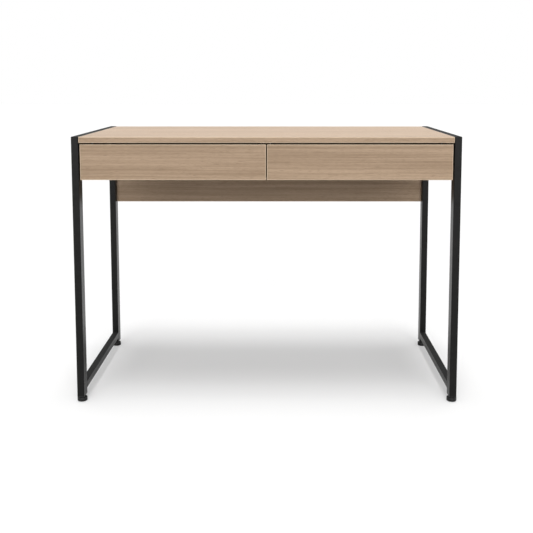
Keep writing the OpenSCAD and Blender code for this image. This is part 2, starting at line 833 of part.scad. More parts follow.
// Groove for the drawer bottom, as the bottom's own outline with its clearance
module bottom_groove() {
  reach = groove_depth;
  translate([
    -box_inner_w / 2 - reach, front_y1 + box_t - reach, box_z + bottom_up - groove_fit
  ])
    cube([
      box_inner_w + 2 * reach, box_len - 2 * box_t + 2 * reach, bottom_t + 2 * groove_fit
    ]);
}

// Board of the box, standing on its edge, with its upper edges rounded
module box_board(w, t) {
  r = box_edge_r;
  rotate([90, 0, 90]) linear_extrude(w) {
    square([t, box_h - r]);
    translate([r, 0]) square([t - 2 * r, box_h]);
    for (y = [r, t - r]) {
      translate([y, box_h - r]) circle(r, $fn = 32);
    }
  }
}

module box_side(bay_right, side_right) {
  color("burlywood") difference() {
    at_bay(bay_right) difference() {
      flip_x(side_right) translate([-box_inner_w / 2, front_y1, box_z])
        rotate([0, 0, 90]) box_board(box_len, box_t);
      bottom_groove();
      at_corner_screws() sunk_hole(corner_screw_len);
    }
    at_slide(bay_right, side_right) at_drawer_rail_screws() sunk_hole(slide_screw_len);
  }
}

module box_front(right) {
  color("burlywood") at_bay(right) difference() {
    translate([-box_inner_w / 2, front_y1, box_z]) box_board(box_inner_w, box_t);
    bottom_groove();
    at_corner_screws() sunk_hole(corner_screw_len);
    at_front_screws() sunk_hole(front_screw_len);
  }
}

module box_back(right) {
  color("burlywood") at_bay(right) difference() {
    translate([-box_inner_w / 2, front_y1 + box_len - box_t, box_z])
      box_board(box_inner_w, box_t);
    bottom_groove();
    at_corner_screws() sunk_hole(corner_screw_len);
  }
}

module drawer_bottom(right) {
  reach = groove_depth - groove_fit;
  color("wheat") at_bay(right)
    translate([-box_inner_w / 2 - reach, front_y1 + box_t - reach, box_z + bottom_up])
      cube([box_inner_w + 2 * reach, box_len - 2 * box_t + 2 * reach, bottom_t]);
}

module drawer_screws(right) {
  at_bay(right) {
    at_corner_screws() sunk_screw_piece(corner_screw_len);
    at_front_screws() sunk_screw_piece(front_screw_len);
  }
  for (slide_right = [false, true]) {
    at_slide(right, slide_right) at_drawer_rail_screws() sunk_screw_piece(slide_screw_len);
  }
}

/* Drawer slides. Sections are drawn with X from the case towards the drawer and Y up. */

module both_halves() {
  children();
  mirror([0, 1, 0]) children();
}

// Rolled track: a third of a tube above or below the row of balls at (x, z)
module track(x, z, above) {
  far = 2 * (track_r + sheet);
  translate([x, z]) flip_y(!above) intersection() {
    difference() {
      circle(track_r + sheet, $fn = 64);
      circle(track_r, $fn = 64);
    }
    polygon([
      [0, 0],
      [far * cos(30), far / 2],
      [far * cos(30), far],
      [-far * cos(30), far],
      [-far * cos(30), far / 2],
    ]);
  }
}

// The corner that a bend of the sheet leaves outside its round, at (x, z)
module bend_cut(x, z) {
  translate([x, z]) difference() {
    translate([-cut, -bend_r]) square([bend_r + cut, bend_r + cut]);
    translate([bend_r, -bend_r]) circle(bend_r, $fn = 32);
  }
}

module cabinet_rail_section() {
  both_halves() {
    difference() {
      union() {
        square([sheet, flange_z1 + sheet]);
        translate([0, flange_z1]) square([ball_x1 - track_c, sheet]);
      }
      bend_cut(0, flange_z1 + sheet);
    }
    track(ball_x1, ball_z1, true);
  }
}

module middle_rail_section() {
  both_halves() {
    difference() {
      union() {
        translate([mid_x, 0]) square([sheet, flange_z2 + sheet]);
        translate([mid_x, flange_z2]) square([ball_x1 - track_c - mid_x, sheet]);
      }
      bend_cut(mid_x, flange_z2 + sheet);
    }
    track(ball_x1, ball_z1, false);
    translate([ball_x1 + track_c, flange_z2]) square([ball_x2 - ball_x1 - 2 * track_c, sheet]);
    track(ball_x2, ball_z2, true);
  }
}

module drawer_rail_section() {
  both_halves() {
    difference() {
      union() {
        translate([slide_w - sheet, 0]) square([sheet, flange_z3 + sheet]);
        translate([ball_x2 + track_c, flange_z3]) square([slide_w - ball_x2 - track_c, sheet]);
      }
      translate([slide_w, 0]) mirror([1, 0, 0]) bend_cut(0, flange_z3 + sheet);
    }
    track(ball_x2, ball_z2, false);
  }
}

// A section drawn out along Y
module drawn_out(y0, len) {
  translate([0, y0 + len, 0]) rotate([90, 0, 0]) linear_extrude(len) children();
}

// Slot through the web at x, its middle at y
module web_slot(x, y, l, w, upright) {
  translate([x - cut, y, 0]) rotate([90, 0, 90]) linear_extrude(sheet + 2 * cut)
    rotate([0, 0, upright ? 90 : 0]) {
      square([l - w, w], center = true);
      for (end = [-1, 1]) {
        translate([end * (l - w) / 2, 0]) circle(w / 2, $fn = 32);
      }
    }
}

// Slots for adjusting lie halfway between the screw holes
module adjusting_slots(x, y0, holes, upright) {
  for (i = [1:len(holes) - 1]) {
    web_slot(x, y0 + (holes[i - 1] + holes[i]) / 2, adjust_l, adjust_w, upright);
  }
}

// Stop pressed out of the web at x towards side, not cut free, with its hollow behind it.
// It lies between y and y + stop_l.
module pressed_stop(x, side, y) {
  depth = web_gap - stop_gap;
  difference() {
    children();
    translate([side > 0 ? x - cut : x + sheet - depth, y, -stop_h / 2])
      cube([depth + cut, stop_l, stop_h]);
  }
  translate([x + side * depth, y, -stop_h / 2]) cube([sheet, stop_l, stop_h]);
}

// Stop cut free on three sides and bent square out of the web at x, up to tip_x. Its stop
// face is at y. The sheet lies behind that face, or before it, and then its window.
module bent_stop(x, tip_x, y, behind, window_behind) {
  reach = abs(tip_x - x) - sheet;
  window_y = window_behind ? y + (behind ? sheet : 0) : y - (behind ? 0 : sheet) - reach;
  difference() {
    children();
    translate([x - cut, window_y, -stop_h / 2]) cube([sheet + 2 * cut, reach, stop_h]);
  }
  translate([min(x, tip_x), behind ? y : y - sheet, -stop_h / 2])
    cube([abs(tip_x - x), sheet, stop_h]);
}

// Its front stop holds the outer cage, its rear stop the shut drawer's rail
module cabinet_rail(bay_right, slide_right) {
  color("lightgray") at_slide(bay_right, slide_right) difference() {
    pressed_stop(0, 1, slide_y0 + stop_in - stop_l)
      bent_stop(0, slide_w - stop_gap, rail_y0 + rail_len + stop_gap, true, false)
        drawn_out(slide_y0, slide_len) cabinet_rail_section();
    at_cabinet_rail_screws() sunk_hole(slide_screw_len);
    adjusting_slots(0, slide_y0, hole_y, false);
  }
}

// The web has long holes, which make way for a screwdriver, and a stop for each cage
module middle_rail(bay_right, slide_right) {
  color("lightgray") at_slide(bay_right, slide_right) difference() {
    pressed_stop(mid_x, -1, mid_y0 + mid_len - stop_in)
      bent_stop(mid_x, cage_x2 + cage_t + stop_gap, mid_y0 + inner_stop, false, false)
        drawn_out(mid_y0, mid_len) middle_rail_section();
    for (y = [mid_len / 4, 3 * mid_len / 4]) {
      web_slot(mid_x, mid_y0 + y, slot_l, slot_w, false);
    }
  }
}

// Its stop meets the rear end of the inner cage
module drawer_rail(bay_right, slide_right) {
  color("lightgray") at_slide(bay_right, slide_right) difference() {
    translate([slide_w, 0, 0]) mirror([1, 0, 0])
      bent_stop(0, slide_w - cage_x2 + stop_gap, rail_y0 + rail_len - inner_stop, true, true)
        translate([slide_w, 0, 0]) mirror([1, 0, 0])
          drawn_out(rail_y0, rail_len) drawer_rail_section();
    at_drawer_rail_screws() sunk_hole(slide_screw_len);
    adjusting_slots(slide_w - sheet, rail_y0, rail_hole_y, true);
  }
}

// Cage of sheet steel: a web, and two flanges with a pocket for every ball
module ball_cage(web_x, flange_z, ball_x, ball_z, mid_y) {
  lip_x = ball_x + ball_d / 2 + cage_lip;
  color("gray") difference() {
    drawn_out(mid_y - cage_len / 2, cage_len) both_halves() {
      translate([web_x, 0]) square([cage_t, flange_z + cage_t / 2]);
      translate([web_x, flange_z - cage_t / 2]) square([lip_x - web_x, cage_t]);
    }
    for (i = [0:ball_count - 1]) {
      translate([ball_x, mid_y + (i - (ball_count - 1) / 2) * ball_pitch, -slide_h / 2])
        cylinder(h = slide_h, d = ball_d + 2 * pocket_fit, $fn = 32);
    }
  }
  color("silver") for (i = [0:ball_count - 1], side = [-1, 1]) {
    translate([ball_x, mid_y + (i - (ball_count - 1) / 2) * ball_pitch, side * ball_z])
      sphere(d = ball_d, $fn = 24);
  }
}

module outer_ball_cages(bay_right) {
  for (slide_right = [false, true]) {
    at_slide(bay_right, slide_right)
      ball_cage(sheet + (web_gap - cage_t) / 2, ball_z1, ball_x1, ball_z1, cage_y1);
  }
}

module inner_ball_cages(bay_right) {
  for (slide_right = [false, true]) {
    at_slide(bay_right, slide_right)
      ball_cage(cage_x2, cage_z2, ball_x2, ball_z2, cage_y2);
  }
}

leg(false);  // left_front_leg
leg(true);  // left_rear_leg
top_rail();  // left_top_rail
foot_rail();  // left_foot_rail
flip_x(true) leg(false);  // right_front_leg
flip_x(true) leg(true);  // right_rear_leg
flip_x(true) top_rail();  // right_top_rail
flip_x(true) foot_rail();  // right_foot_rail
leg_plugs();
lock_nuts();
foot(false, false);  // front_left_foot
foot(true, false);  // front_right_foot
foot(false, true);  // rear_left_foot
foot(true, true);  // rear_right_foot
stud(false, false);  // front_left_stud
stud(true, false);  // front_right_stud
stud(false, true);  // rear_left_stud
stud(true, true);  // rear_right_stud
desk_top();
back_panel();
case_side(false);  // left_case_side
case_side(true);  // right_case_side
centre_divider();
case_brackets();
bracket_screws();
case_screws();
frame_bolts();
rivet_nuts();
cam_locks();
cam_dowels();
drawer_front(false);  // left_drawer_front
box_front(false);  // left_drawer_box_front
box_back(false);  // left_drawer_box_back
box_side(false, false);  // left_drawer_left_side
box_side(false, true);  // left_drawer_right_side
drawer_bottom(false);  // left_drawer_bottom
drawer_screws(false);  // left_drawer_screws
drawer_front(true);  // right_drawer_front
box_front(true);  // right_drawer_box_front
box_back(true);  // right_drawer_box_back
box_side(true, false);  // right_drawer_left_side
box_side(true, true);  // right_drawer_right_side
drawer_bottom(true);  // right_drawer_bottom
drawer_screws(true);  // right_drawer_screws
cabinet_rail(false, false);  // left_drawer_left_cabinet_rail
middle_rail(false, false);  // left_drawer_left_middle_rail
drawer_rail(false, false);  // left_drawer_left_drawer_rail
cabinet_rail(false, true);  // left_drawer_right_cabinet_rail
middle_rail(false, true);  // left_drawer_right_middle_rail
drawer_rail(false, true);  // left_drawer_right_drawer_rail
cabinet_rail(true, false);  // right_drawer_left_cabinet_rail
middle_rail(true, false);  // right_drawer_left_middle_rail
drawer_rail(true, false);  // right_drawer_left_drawer_rail
cabinet_rail(true, true);  // right_drawer_right_cabinet_rail
middle_rail(true, true);  // right_drawer_right_middle_rail
drawer_rail(true, true);  // right_drawer_right_drawer_rail
outer_ball_cages(false);  // left_drawer_outer_ball_cages
inner_ball_cages(false);  // left_drawer_inner_ball_cages
outer_ball_cages(true);  // right_drawer_outer_ball_cages
inner_ball_cages(true);  // right_drawer_inner_ball_cages
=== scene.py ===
"""Looks of a writing desk with two drawers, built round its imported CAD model.

Lengths are metres. X runs along the width, Y from front to back and Z up. The origin is
on the floor in the middle of the desk.
"""

import logging
import math
from dataclasses import dataclass
from enum import Enum

import bpy
import numpy as np
from numpy.typing import NDArray
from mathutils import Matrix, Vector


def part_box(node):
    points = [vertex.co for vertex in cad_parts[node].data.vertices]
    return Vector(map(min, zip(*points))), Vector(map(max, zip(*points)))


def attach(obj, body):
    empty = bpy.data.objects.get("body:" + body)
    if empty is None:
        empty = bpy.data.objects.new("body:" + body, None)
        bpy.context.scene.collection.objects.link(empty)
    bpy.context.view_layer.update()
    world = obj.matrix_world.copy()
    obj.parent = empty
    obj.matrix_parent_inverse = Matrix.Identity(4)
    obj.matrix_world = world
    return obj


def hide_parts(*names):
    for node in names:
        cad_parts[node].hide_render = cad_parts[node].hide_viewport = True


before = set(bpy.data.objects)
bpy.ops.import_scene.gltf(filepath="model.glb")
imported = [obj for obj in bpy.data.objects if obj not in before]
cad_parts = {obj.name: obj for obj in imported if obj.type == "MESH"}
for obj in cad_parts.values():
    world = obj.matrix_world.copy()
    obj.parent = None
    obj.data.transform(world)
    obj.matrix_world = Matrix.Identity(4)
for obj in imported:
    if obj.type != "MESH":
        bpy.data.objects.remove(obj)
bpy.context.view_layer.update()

LOG = logging.getLogger("writing_desk")
Colour = tuple[float, float, float]
Point = tuple[float, float, float]
Socket = bpy.types.NodeSocket
NodeTree = bpy.types.NodeTree
Material = bpy.types.Material
WHITE = (1.0, 1.0, 1.0, 1.0)


def linear(red: int, green: int, blue: int) -> Colour:
    """Turns a colour in display values of 0 to 255 into linear light of 0 to 1."""
    shares = (value / 255 for value in (red, green, blue))
    return tuple(s / 12.92 if s <= 0.04045 else ((s + 0.055) / 1.055) ** 2.4 for s in shares)


def toned(colour: Colour, share: float) -> Colour:
    """Gives a colour times a share."""
    return tuple(value * share for value in colour)


# Shader graphs


@dataclass(frozen=True)
class Noise:
    """A kind of noise.

    Attributes:
        scale: Waves per metre along X, Y and Z.
        detail: How many finer layers are added.
        rough: How strong the finer layers are.
    """

    scale: Point
    detail: float = 2.0
    rough: float = 0.5


@dataclass
class Graph:
    """Adds nodes to one node tree and links them.

    Attributes:
        tree: The tree of a material, a world or a node group.
    """

    tree: NodeTree

    def node(self, kind: str, inputs: dict | None = None, **settings: object) -> bpy.types.Node:
        """Adds a node.

        Args:
            kind: Blender's name of the node's type.
            inputs: A value or an output socket for each named or numbered input.
            **settings: The node's own properties.

        Returns:
            The new node.
        """
        made = self.tree.nodes.new(kind)
        for name, value in settings.items():
            setattr(made, name, value)
        for key, value in (inputs or {}).items():
            self.put(made.inputs[key], value)
        return made

    def put(self, socket: Socket, value: object) -> None:
        """Links an output to an input, or sets the input's constant.

        Args:
            socket: The input.
            value: An output socket or a constant.
        """
        if isinstance(value, Socket):
            self.tree.links.new(value, socket)
        else:
            socket.default_value = value

    def math(self, operation: str, a: Socket | float, b: Socket | float = 0.0) -> Socket:
        """Works out one sum.

        Args:
            operation: Blender's name of the operation.
            a: The first value.
            b: The second value.

        Returns:
            The result.
        """
        return self.node("ShaderNodeMath", {0: a, 1: b}, operation=operation).outputs[0]

    def times(self, a: Socket | float, b: Socket | float) -> Socket:
        """Multiplies two values."""
        return self.math("MULTIPLY", a, b)

    def total(self, first: Socket | float, *others: Socket | float) -> Socket:
        """Gives the sum of values, added from left to right."""
        for value in others:
            first = self.math("ADD", first, value)
        return first

    def swing(self, value: Socket, amount: float, middle: float = 0.5) -> Socket:
        """Turns a value that varies round a middle into a change: (value - middle) amount."""
        return self.times(self.math("SUBTRACT", value, middle), amount)

    def split(self, vector: Socket) -> list[Socket]:
        """Gives the three parts of a vector."""
        return list(self.node("ShaderNodeSeparateXYZ", {0: vector}).outputs)

    def vector_math(self, operation: str, a: Socket | Point, b: Socket | Point) -> Socket:
        """Works out one sum of vectors, as math does of values."""
        return self.node("ShaderNodeVectorMath", {0: a, 1: b}, operation=operation).outputs[0]

    def mix(self, kind: str, share: Socket | float, a: object, b: object) -> Socket:
        """Mixes two values of one kind.

        Args:
            kind: RGBA or VECTOR.
            share: How much of b counts, 0 to 1.
            a: A socket or a constant.
            b: Another one.

        Returns:
            The mixture.
        """
        made = self.node("ShaderNodeMix", {0: share}, data_type=kind)
        ends = [s for s in made.inputs if s.type == kind and s.name in ("A", "B")]
        for socket, value in zip(ends, (a, b)):
            self.put(socket, value)
        return next(s for s in made.outputs if s.type == kind)

    def blend(self, share: Socket | float, a: Socket | Colour, b: Socket | Colour) -> Socket:
        """Mixes two colours. At a share of 1 only the second one shows."""
        ends = (value if isinstance(value, Socket) else (*value, 1.0) for value in (a, b))
        return self.mix("RGBA", share, *ends)

    def ramp(self, value: Socket, low: float, high: float, start: float = 0.0, end: float = 1.0) -> Socket:
        """Takes a value from one range to another with soft ends, and holds it there.

        Args:
            value: The value.
            low: Where the range starts.
            high: Where the range ends.
            start: The result at the range's start.
            end: The result at the range's end.

        Returns:
            The result.
        """
        made = self.node(
            "ShaderNodeMapRange",
            {"Value": value, "From Min": low, "From Max": high, "To Min": start, "To Max": end},
            interpolation_type="SMOOTHSTEP",
        )
        return made.outputs["Result"]

    def noise(self, place: Socket, kind: Noise) -> Socket:
        """Gives values round 0.5 that vary from place to place, in metres."""
        stretched = self.vector_math("MULTIPLY", place, kind.scale)
        made = self.node(
            "ShaderNodeTexNoise",
            {"Vector": stretched, "Scale": 1.0, "Detail": kind.detail, "Roughness": kind.rough},
        )
        return made.outputs[0]

    def group(self, tree: NodeTree, **inputs: object) -> bpy.types.bpy_prop_collection:
        """Places a node group.

        Args:
            tree: The group's own tree.
            **inputs: A value or an output socket for each named input.

        Returns:
            The outputs of the group's node.
        """
        return self.node("ShaderNodeGroup", inputs, node_tree=tree).outputs


class GroupGraph(Graph):
    """A node group that is being made."""

    def __init__(self, name: str, **inputs: str) -> None:
        """Makes the group with its input Vector and those that are named.

        Args:
            name: The group's name.
            **inputs: Vector or Float for each further input.
        """
        super().__init__(bpy.data.node_groups.new(name, "ShaderNodeTree"))
        for key, kind in {"Vector": "Vector", **inputs}.items():
            self.tree.interface.new_socket(key, in_out="INPUT", socket_type=f"NodeSocket{kind}")
        self.source = self.tree.nodes.new("NodeGroupInput").outputs

    def give(self, **values: Socket) -> NodeTree:
        """Puts values out, which closes the group.

        Args:
            **values: A plain value for each output.

        Returns:
            The group's tree.
        """
        for key in values:
            self.tree.interface.new_socket(key, in_out="OUTPUT", socket_type="NodeSocketFloat")
        self.node("NodeGroupOutput", values)
        return self.tree


class Surface(Graph):
    """The graph of a material that is being made."""

    def __init__(self, name: str, **constants: float | tuple) -> None:
        """Makes the material.

        Args:
            name: The material's name.
            **constants: Constant shader inputs, with _ for a space.
        """
        self.material = bpy.data.materials.new(name)
        self.material.use_nodes = True
        super().__init__(self.material.node_tree)
        self.shader = self.tree.nodes["Principled BSDF"]
        for key, value in constants.items():
            self.shader.inputs[key.replace("_", " ")].default_value = value

    def coordinates(self) -> tuple[Socket, Socket]:
        """Gives the object coordinates and the normal."""
        outputs = self.node("ShaderNodeTexCoord").outputs
        return outputs["Object"], outputs["Normal"]

    def wire(self, colour: Socket, rough: Socket, height: Socket, depth: float) -> Material:
        """Gives the shader its colour, roughness and relief.

        Args:
            colour: The colour.
            rough: The roughness.
            height: The relief, 0 to 1.
            depth: What 1 stands for, in metres.

        Returns:
            The finished material.
        """
        relief = self.node("ShaderNodeBump", {"Height": height, "Distance": depth, "Strength": 1.0})
        for key, value in (("Base Color", colour), ("Roughness", rough), ("Normal", relief.outputs[0])):
            self.put(self.shader.inputs[key], value)
        return self.material


class Effects:
    """The effects that several finishes share, each one node group.

    Attributes:
        SWAY, RIPPLE: Slow and quick bends of the fibres, and their reach in metres.
        BANDS, STREAKS, FIBRES, DASHES: The grain, from broad to fine.
        ARRIS_HIGHLIGHT_CORE: Share of an arris's width where the painted arris highlight shows in full.
        SMEARS, WIPES: Patches and strokes of handling, and their shares.
        CLOUDS, WAVE_SCALE, GRAIN_SHARE: Tones, waves and grains of a stipple.
        ROLLING, SCRATCHES: Lines in sheet metal, and what its scratches come from.
        PORE_RANGE, SCRATCH_RANGE: Where a pore and a scratch start, and are full.
    """

    SWAY, SWAY_REACH = Noise((1.1, 4.0, 4.0), 1.0), 0.024
    RIPPLE, RIPPLE_REACH = Noise((14.0, 60.0, 60.0), 1.0), 0.0022
    BANDS = Noise((0.8, 38.0, 38.0), 2.0, 0.55)
    STREAKS = Noise((1.2, 180.0, 180.0), 3.0, 0.6)
    FIBRES = Noise((16.0, 1400.0, 1400.0))
    DASHES, PORE_RANGE = Noise((60.0, 2400.0, 2400.0), 0.0), (0.58, 0.74)
    ARRIS_HIGHLIGHT_CORE = 0.35
    SMEARS, SMEAR_SHARE = Noise((7.0, 7.0, 7.0), 3.0, 0.6), 0.65
    WIPES, WIPE_SHARE = Noise((16.0, 60.0, 45.0)), 0.35
    CLOUDS = Noise((9.0, 9.0, 9.0), 3.0, 0.6)
    WAVE_SCALE, GRAIN_SHARE = 0.4, 0.6
    ROLLING = Noise((1800.0, 9.0, 1800.0), 2.0, 0.6)
    SCRATCHES, SCRATCH_RANGE = Noise((900.0, 70.0, 260.0), 1.0), (0.66, 0.72)

    def __init__(self) -> None:
        """Builds the groups."""
        self.grain = self._grain()
        self.edges = self._edges()
        self.handling = self._handling()
        self.stipple = self._stipple()
        self.brushing = self._brushing()

    def _grain(self) -> NodeTree:
        """Gives the tree of wood fibres along X: bands, streaks, fine fibres and open pores."""
        graph = GroupGraph("wood_grain")
        place = graph.source["Vector"]
        shift = graph.total(
            graph.swing(graph.noise(place, self.SWAY), self.SWAY_REACH),
            graph.swing(graph.noise(place, self.RIPPLE), self.RIPPLE_REACH),
        )
        across = graph.node("ShaderNodeCombineXYZ", {1: shift, 2: shift}).outputs[0]
        bent = graph.vector_math("ADD", place, across)
        return graph.give(
            Bands=graph.noise(bent, self.BANDS),
            Streaks=graph.noise(bent, self.STREAKS),
            Fibres=graph.noise(bent, self.FIBRES),
            Pores=graph.ramp(graph.noise(bent, self.DASHES), *self.PORE_RANGE),
        )

    def _edges(self) -> NodeTree:
        """How near a point on a board is to the board's nearest arris, which masks the painted arris
        highlight.

        The distance to the nearest pair of faces is taken along each axis. On a face the
        smallest of the three is nought, and the middle one is the distance to the arris.

        Returns:
            The group's tree.
        """
        graph = GroupGraph("painted_arris_highlight_mask", Low="Vector", High="Vector", Width="Float")
        place = graph.source["Vector"]
        above = graph.vector_math("SUBTRACT", place, graph.source["Low"])
        below = graph.vector_math("SUBTRACT", graph.source["High"], place)
        x, y, z = graph.split(graph.vector_math("MINIMUM", above, below))
        smaller = graph.math("MINIMUM", x, y)
        larger = graph.math("MINIMUM", graph.math("MAXIMUM", x, y), z)
        middle = graph.math("MAXIMUM", smaller, larger)
        share = graph.math("DIVIDE", middle, graph.source["Width"])
        return graph.give(Edge=graph.ramp(share, self.ARRIS_HIGHLIGHT_CORE, 1.0, 1.0, 0.0))

    def _handling(self) -> NodeTree:
        """Gives the tree of faint smears and dull patches that hands and cloths leave."""
        graph = GroupGraph("handling")
        place = graph.source["Vector"]
        broad = graph.times(graph.noise(place, self.SMEARS), self.SMEAR_SHARE)
        wiped = graph.times(graph.noise(place, self.WIPES), self.WIPE_SHARE)
        return graph.give(Smears=graph.total(broad, wiped))

    def _stipple(self) -> NodeTree:
        """Gives the tree of small rounded grains, as of powder coat or moulded faces."""
        graph = GroupGraph("stipple", Scale="Float")
        place, scale = graph.source["Vector"], graph.source["Scale"]
        grains = graph.node(
            "ShaderNodeTexVoronoi", {"Vector": place, "Scale": scale}, feature="SMOOTH_F1"
        ).outputs["Distance"]
        waves = graph.node(
            "ShaderNodeTexNoise",
            {"Vector": place, "Scale": graph.times(scale, self.WAVE_SCALE), "Detail": 2.0},
        ).outputs[0]
        rounded = graph.times(graph.math("SUBTRACT", 1.0, grains), self.GRAIN_SHARE)
        return graph.give(Height=graph.total(rounded, waves), Cloud=graph.noise(place, self.CLOUDS))

    def _brushing(self) -> NodeTree:
        """Gives the tree of rolling lines along Y and fine scratches on sheet metal."""
        graph = GroupGraph("brushing")
        place = graph.source["Vector"]
        scratches = graph.ramp(graph.noise(place, self.SCRATCHES), *self.SCRATCH_RANGE)
        return graph.give(Lines=graph.noise(place, self.ROLLING), Scratches=scratches)


# Finishes


class Fibre(Enum):
    """The axis that the fibres of a board run along."""

    X = "XYZ"
    Y = "YXZ"
    Z = "ZXY"


@dataclass(frozen=True)
class Finish:
    """What every finish has.

    Attributes:
        slot: The record's material slot.
        roughness: Roughness of the bare surface.
    """

    slot: str
    roughness: float


@dataclass(frozen=True)
class Wood(Finish):
    """Veneered or foiled board with its grain, pores and lacquer, a painted highlight along its arrises and
    painted shade inside narrow gaps.

    Attributes:
        light: Colour of the early wood.
        dark: Colour of the late wood.
        pore: Colour in the pores.
        edge: Colour of the painted highlight along the arrises.
        band_share: How far the broad bands move the colour.
        streak_share: How far the streaks do.
        fibre_share: How far the fine fibres do.
        arris_highlight_share: How much of the painted arris highlight shows.
        arris_highlight_width: Width of the painted arris highlight.
        relief: Depth of the pores.
        painted_shade_reach: Width of the gaps that get painted shade inside, as the reach of the occlusion
            test.
        painted_gap_shade: Colour of the painted shade inside those gaps.
        END_FACING: Part of the normal along the fibres that makes a face an end.
        PAINTED_SHADE_RANGE: Openness where the painted gap shade is full, and where it ends.
        PORE_SHARE: How much of the pores' colour shows.
        SMEAR_ROUGHNESS, PORE_ROUGHNESS: What these add to the roughness.
        FIBRE_HEIGHT, PORE_DEPTH: Their parts of the relief.
    """

    light: Colour
    dark: Colour
    pore: Colour
    edge: Colour
    band_share: float = 0.9
    streak_share: float = 0.9
    fibre_share: float = 0.35
    arris_highlight_share: float = 0.6
    arris_highlight_width: float = 0.0016
    relief: float = 0.00006
    painted_shade_reach: float = 0.007
    painted_gap_shade: Colour = linear(84, 66, 50)
    END_FACING = 0.7
    PAINTED_SHADE_RANGE = (0.2, 0.72)
    PORE_SHARE = 0.4
    SMEAR_ROUGHNESS, PORE_ROUGHNESS = 0.16, 0.12
    FIBRE_HEIGHT, PORE_DEPTH = 0.35, 0.8

    def build(self, effects: Effects, node: str, along: Fibre, ends: Fibre, shift: Point) -> Material:
        """Makes the material of one board.

        Args:
            effects: The shared node groups.
            node: The board's CAD node, whose box gives the arrises.
            along: The axis of the fibres.
            ends: The axis of the fibres on the two faces across the first axis.
            shift: Moves the grain, so that no two boards match.

        Returns:
            The material.
        """
        graph = Surface(f"{self.slot}_{node}", Specular_IOR_Level=0.3)
        place, normal = graph.coordinates()
        parts = dict(zip("XYZ", graph.split(graph.vector_math("ADD", place, shift))))
        turned_ways = [
            graph.node("ShaderNodeCombineXYZ", {i: parts[a] for i, a in enumerate(way.value)}).outputs[0]
            for way in (along, ends)
        ]
        facing = graph.math("ABSOLUTE", graph.split(normal)["XYZ".index(along.value[0])])
        at_end = graph.math("GREATER_THAN", facing, self.END_FACING)
        grain = graph.group(effects.grain, Vector=graph.mix("VECTOR", at_end, *turned_ways))
        share = graph.total(
            0.5,
            graph.swing(grain["Bands"], self.band_share),
            graph.swing(grain["Streaks"], self.streak_share),
            graph.swing(grain["Fibres"], self.fibre_share),
        )
        share = graph.math("MINIMUM", graph.math("MAXIMUM", share, 0.0), 1.0)
        colour = graph.blend(share, self.light, self.dark)
        colour = graph.blend(graph.times(grain["Pores"], self.PORE_SHARE), colour, self.pore)
        # Painted highlight: the colour is lightened along every arris of the board's box.
        low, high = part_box(node)
        edge = graph.group(
            effects.edges, Vector=place, Low=tuple(low), High=tuple(high), Width=self.arris_highlight_width
        )["Edge"]
        colour = graph.blend(graph.times(edge, self.arris_highlight_share), colour, self.edge)
        # Painted shade: ambient occlusion darkens narrow gaps towards the shade colour and makes them fully
        # rough, so they read as dark shadow gaps.
        nearby = graph.node("ShaderNodeAmbientOcclusion", {"Distance": self.painted_shade_reach}, samples=8)
        deep = graph.ramp(nearby.outputs["AO"], *self.PAINTED_SHADE_RANGE, 1.0, 0.0)
        colour = graph.blend(deep, colour, self.painted_gap_shade)
        smears = graph.group(effects.handling, Vector=place)["Smears"]
        rough = graph.total(
            self.roughness,
            graph.swing(smears, self.SMEAR_ROUGHNESS),
            graph.times(grain["Pores"], self.PORE_ROUGHNESS),
        )
        rough = graph.math("MAXIMUM", rough, deep)
        height = graph.math(
            "SUBTRACT",
            graph.times(grain["Fibres"], self.FIBRE_HEIGHT),
            graph.times(grain["Pores"], self.PORE_DEPTH),
        )
        return graph.wire(colour, rough, height, self.relief)


@dataclass(frozen=True)
class Fibreboard(Finish):
    """Thin board with a smooth printed upper face and a raw underside.

    Attributes:
        print_colour: Colour of the upper face.
        raw: Colour of the underside.
        raw_roughness: Roughness of the underside.
        relief: Height of the felted fibres.
        FACING_UP: Part of the normal along Z that makes a face a printed one.
        FELT, FLECKS: Felted fibres and light flecks of the raw board.
        FLECK_RANGE: Where a fleck starts, and where it is full.
        STREAK_SHARE, FLECK_SHARE: How much of the streaks and of the flecks shows.
        PRINT_SMOOTHING: Share of the relief that the print levels.
    """

    print_colour: Colour
    raw: Colour
    raw_roughness: float = 0.86
    relief: float = 0.00012
    FACING_UP = 0.5
    FELT = Noise((420.0, 420.0, 420.0), 4.0, 0.7)
    FLECKS = Noise((160.0, 640.0, 640.0), 1.0)
    FLECK_RANGE = (0.62, 0.7)
    STREAK_SHARE, FLECK_SHARE = 0.5, 0.4
    PRINT_SMOOTHING = 0.8

    def build(self, effects: Effects) -> Material:
        """Makes the material.

        Args:
            effects: The shared node groups.

        Returns:
            The material.
        """
        graph = Surface(self.slot)
        place, normal = graph.coordinates()
        is_face = graph.math("GREATER_THAN", graph.split(normal)[2], self.FACING_UP)
        streaks = graph.group(effects.grain, Vector=place)["Streaks"]
        felt = graph.noise(place, self.FELT)
        flecks = graph.ramp(graph.noise(place, self.FLECKS), *self.FLECK_RANGE)
        darker = toned(self.print_colour, 0.72)
        face = graph.blend(graph.times(streaks, self.STREAK_SHARE), self.print_colour, darker)
        raw = graph.blend(felt, toned(self.raw, 0.6), self.raw)
        raw = graph.blend(graph.times(flecks, self.FLECK_SHARE), raw, toned(self.raw, 1.5))
        colour = graph.blend(is_face, raw, face)
        smoother = graph.times(is_face, self.raw_roughness - self.roughness)
        rough = graph.math("SUBTRACT", self.raw_roughness, smoother)
        left = graph.math("SUBTRACT", 1.0, graph.times(is_face, self.PRINT_SMOOTHING))
        return graph.wire(colour, rough, graph.times(felt, left), self.relief)


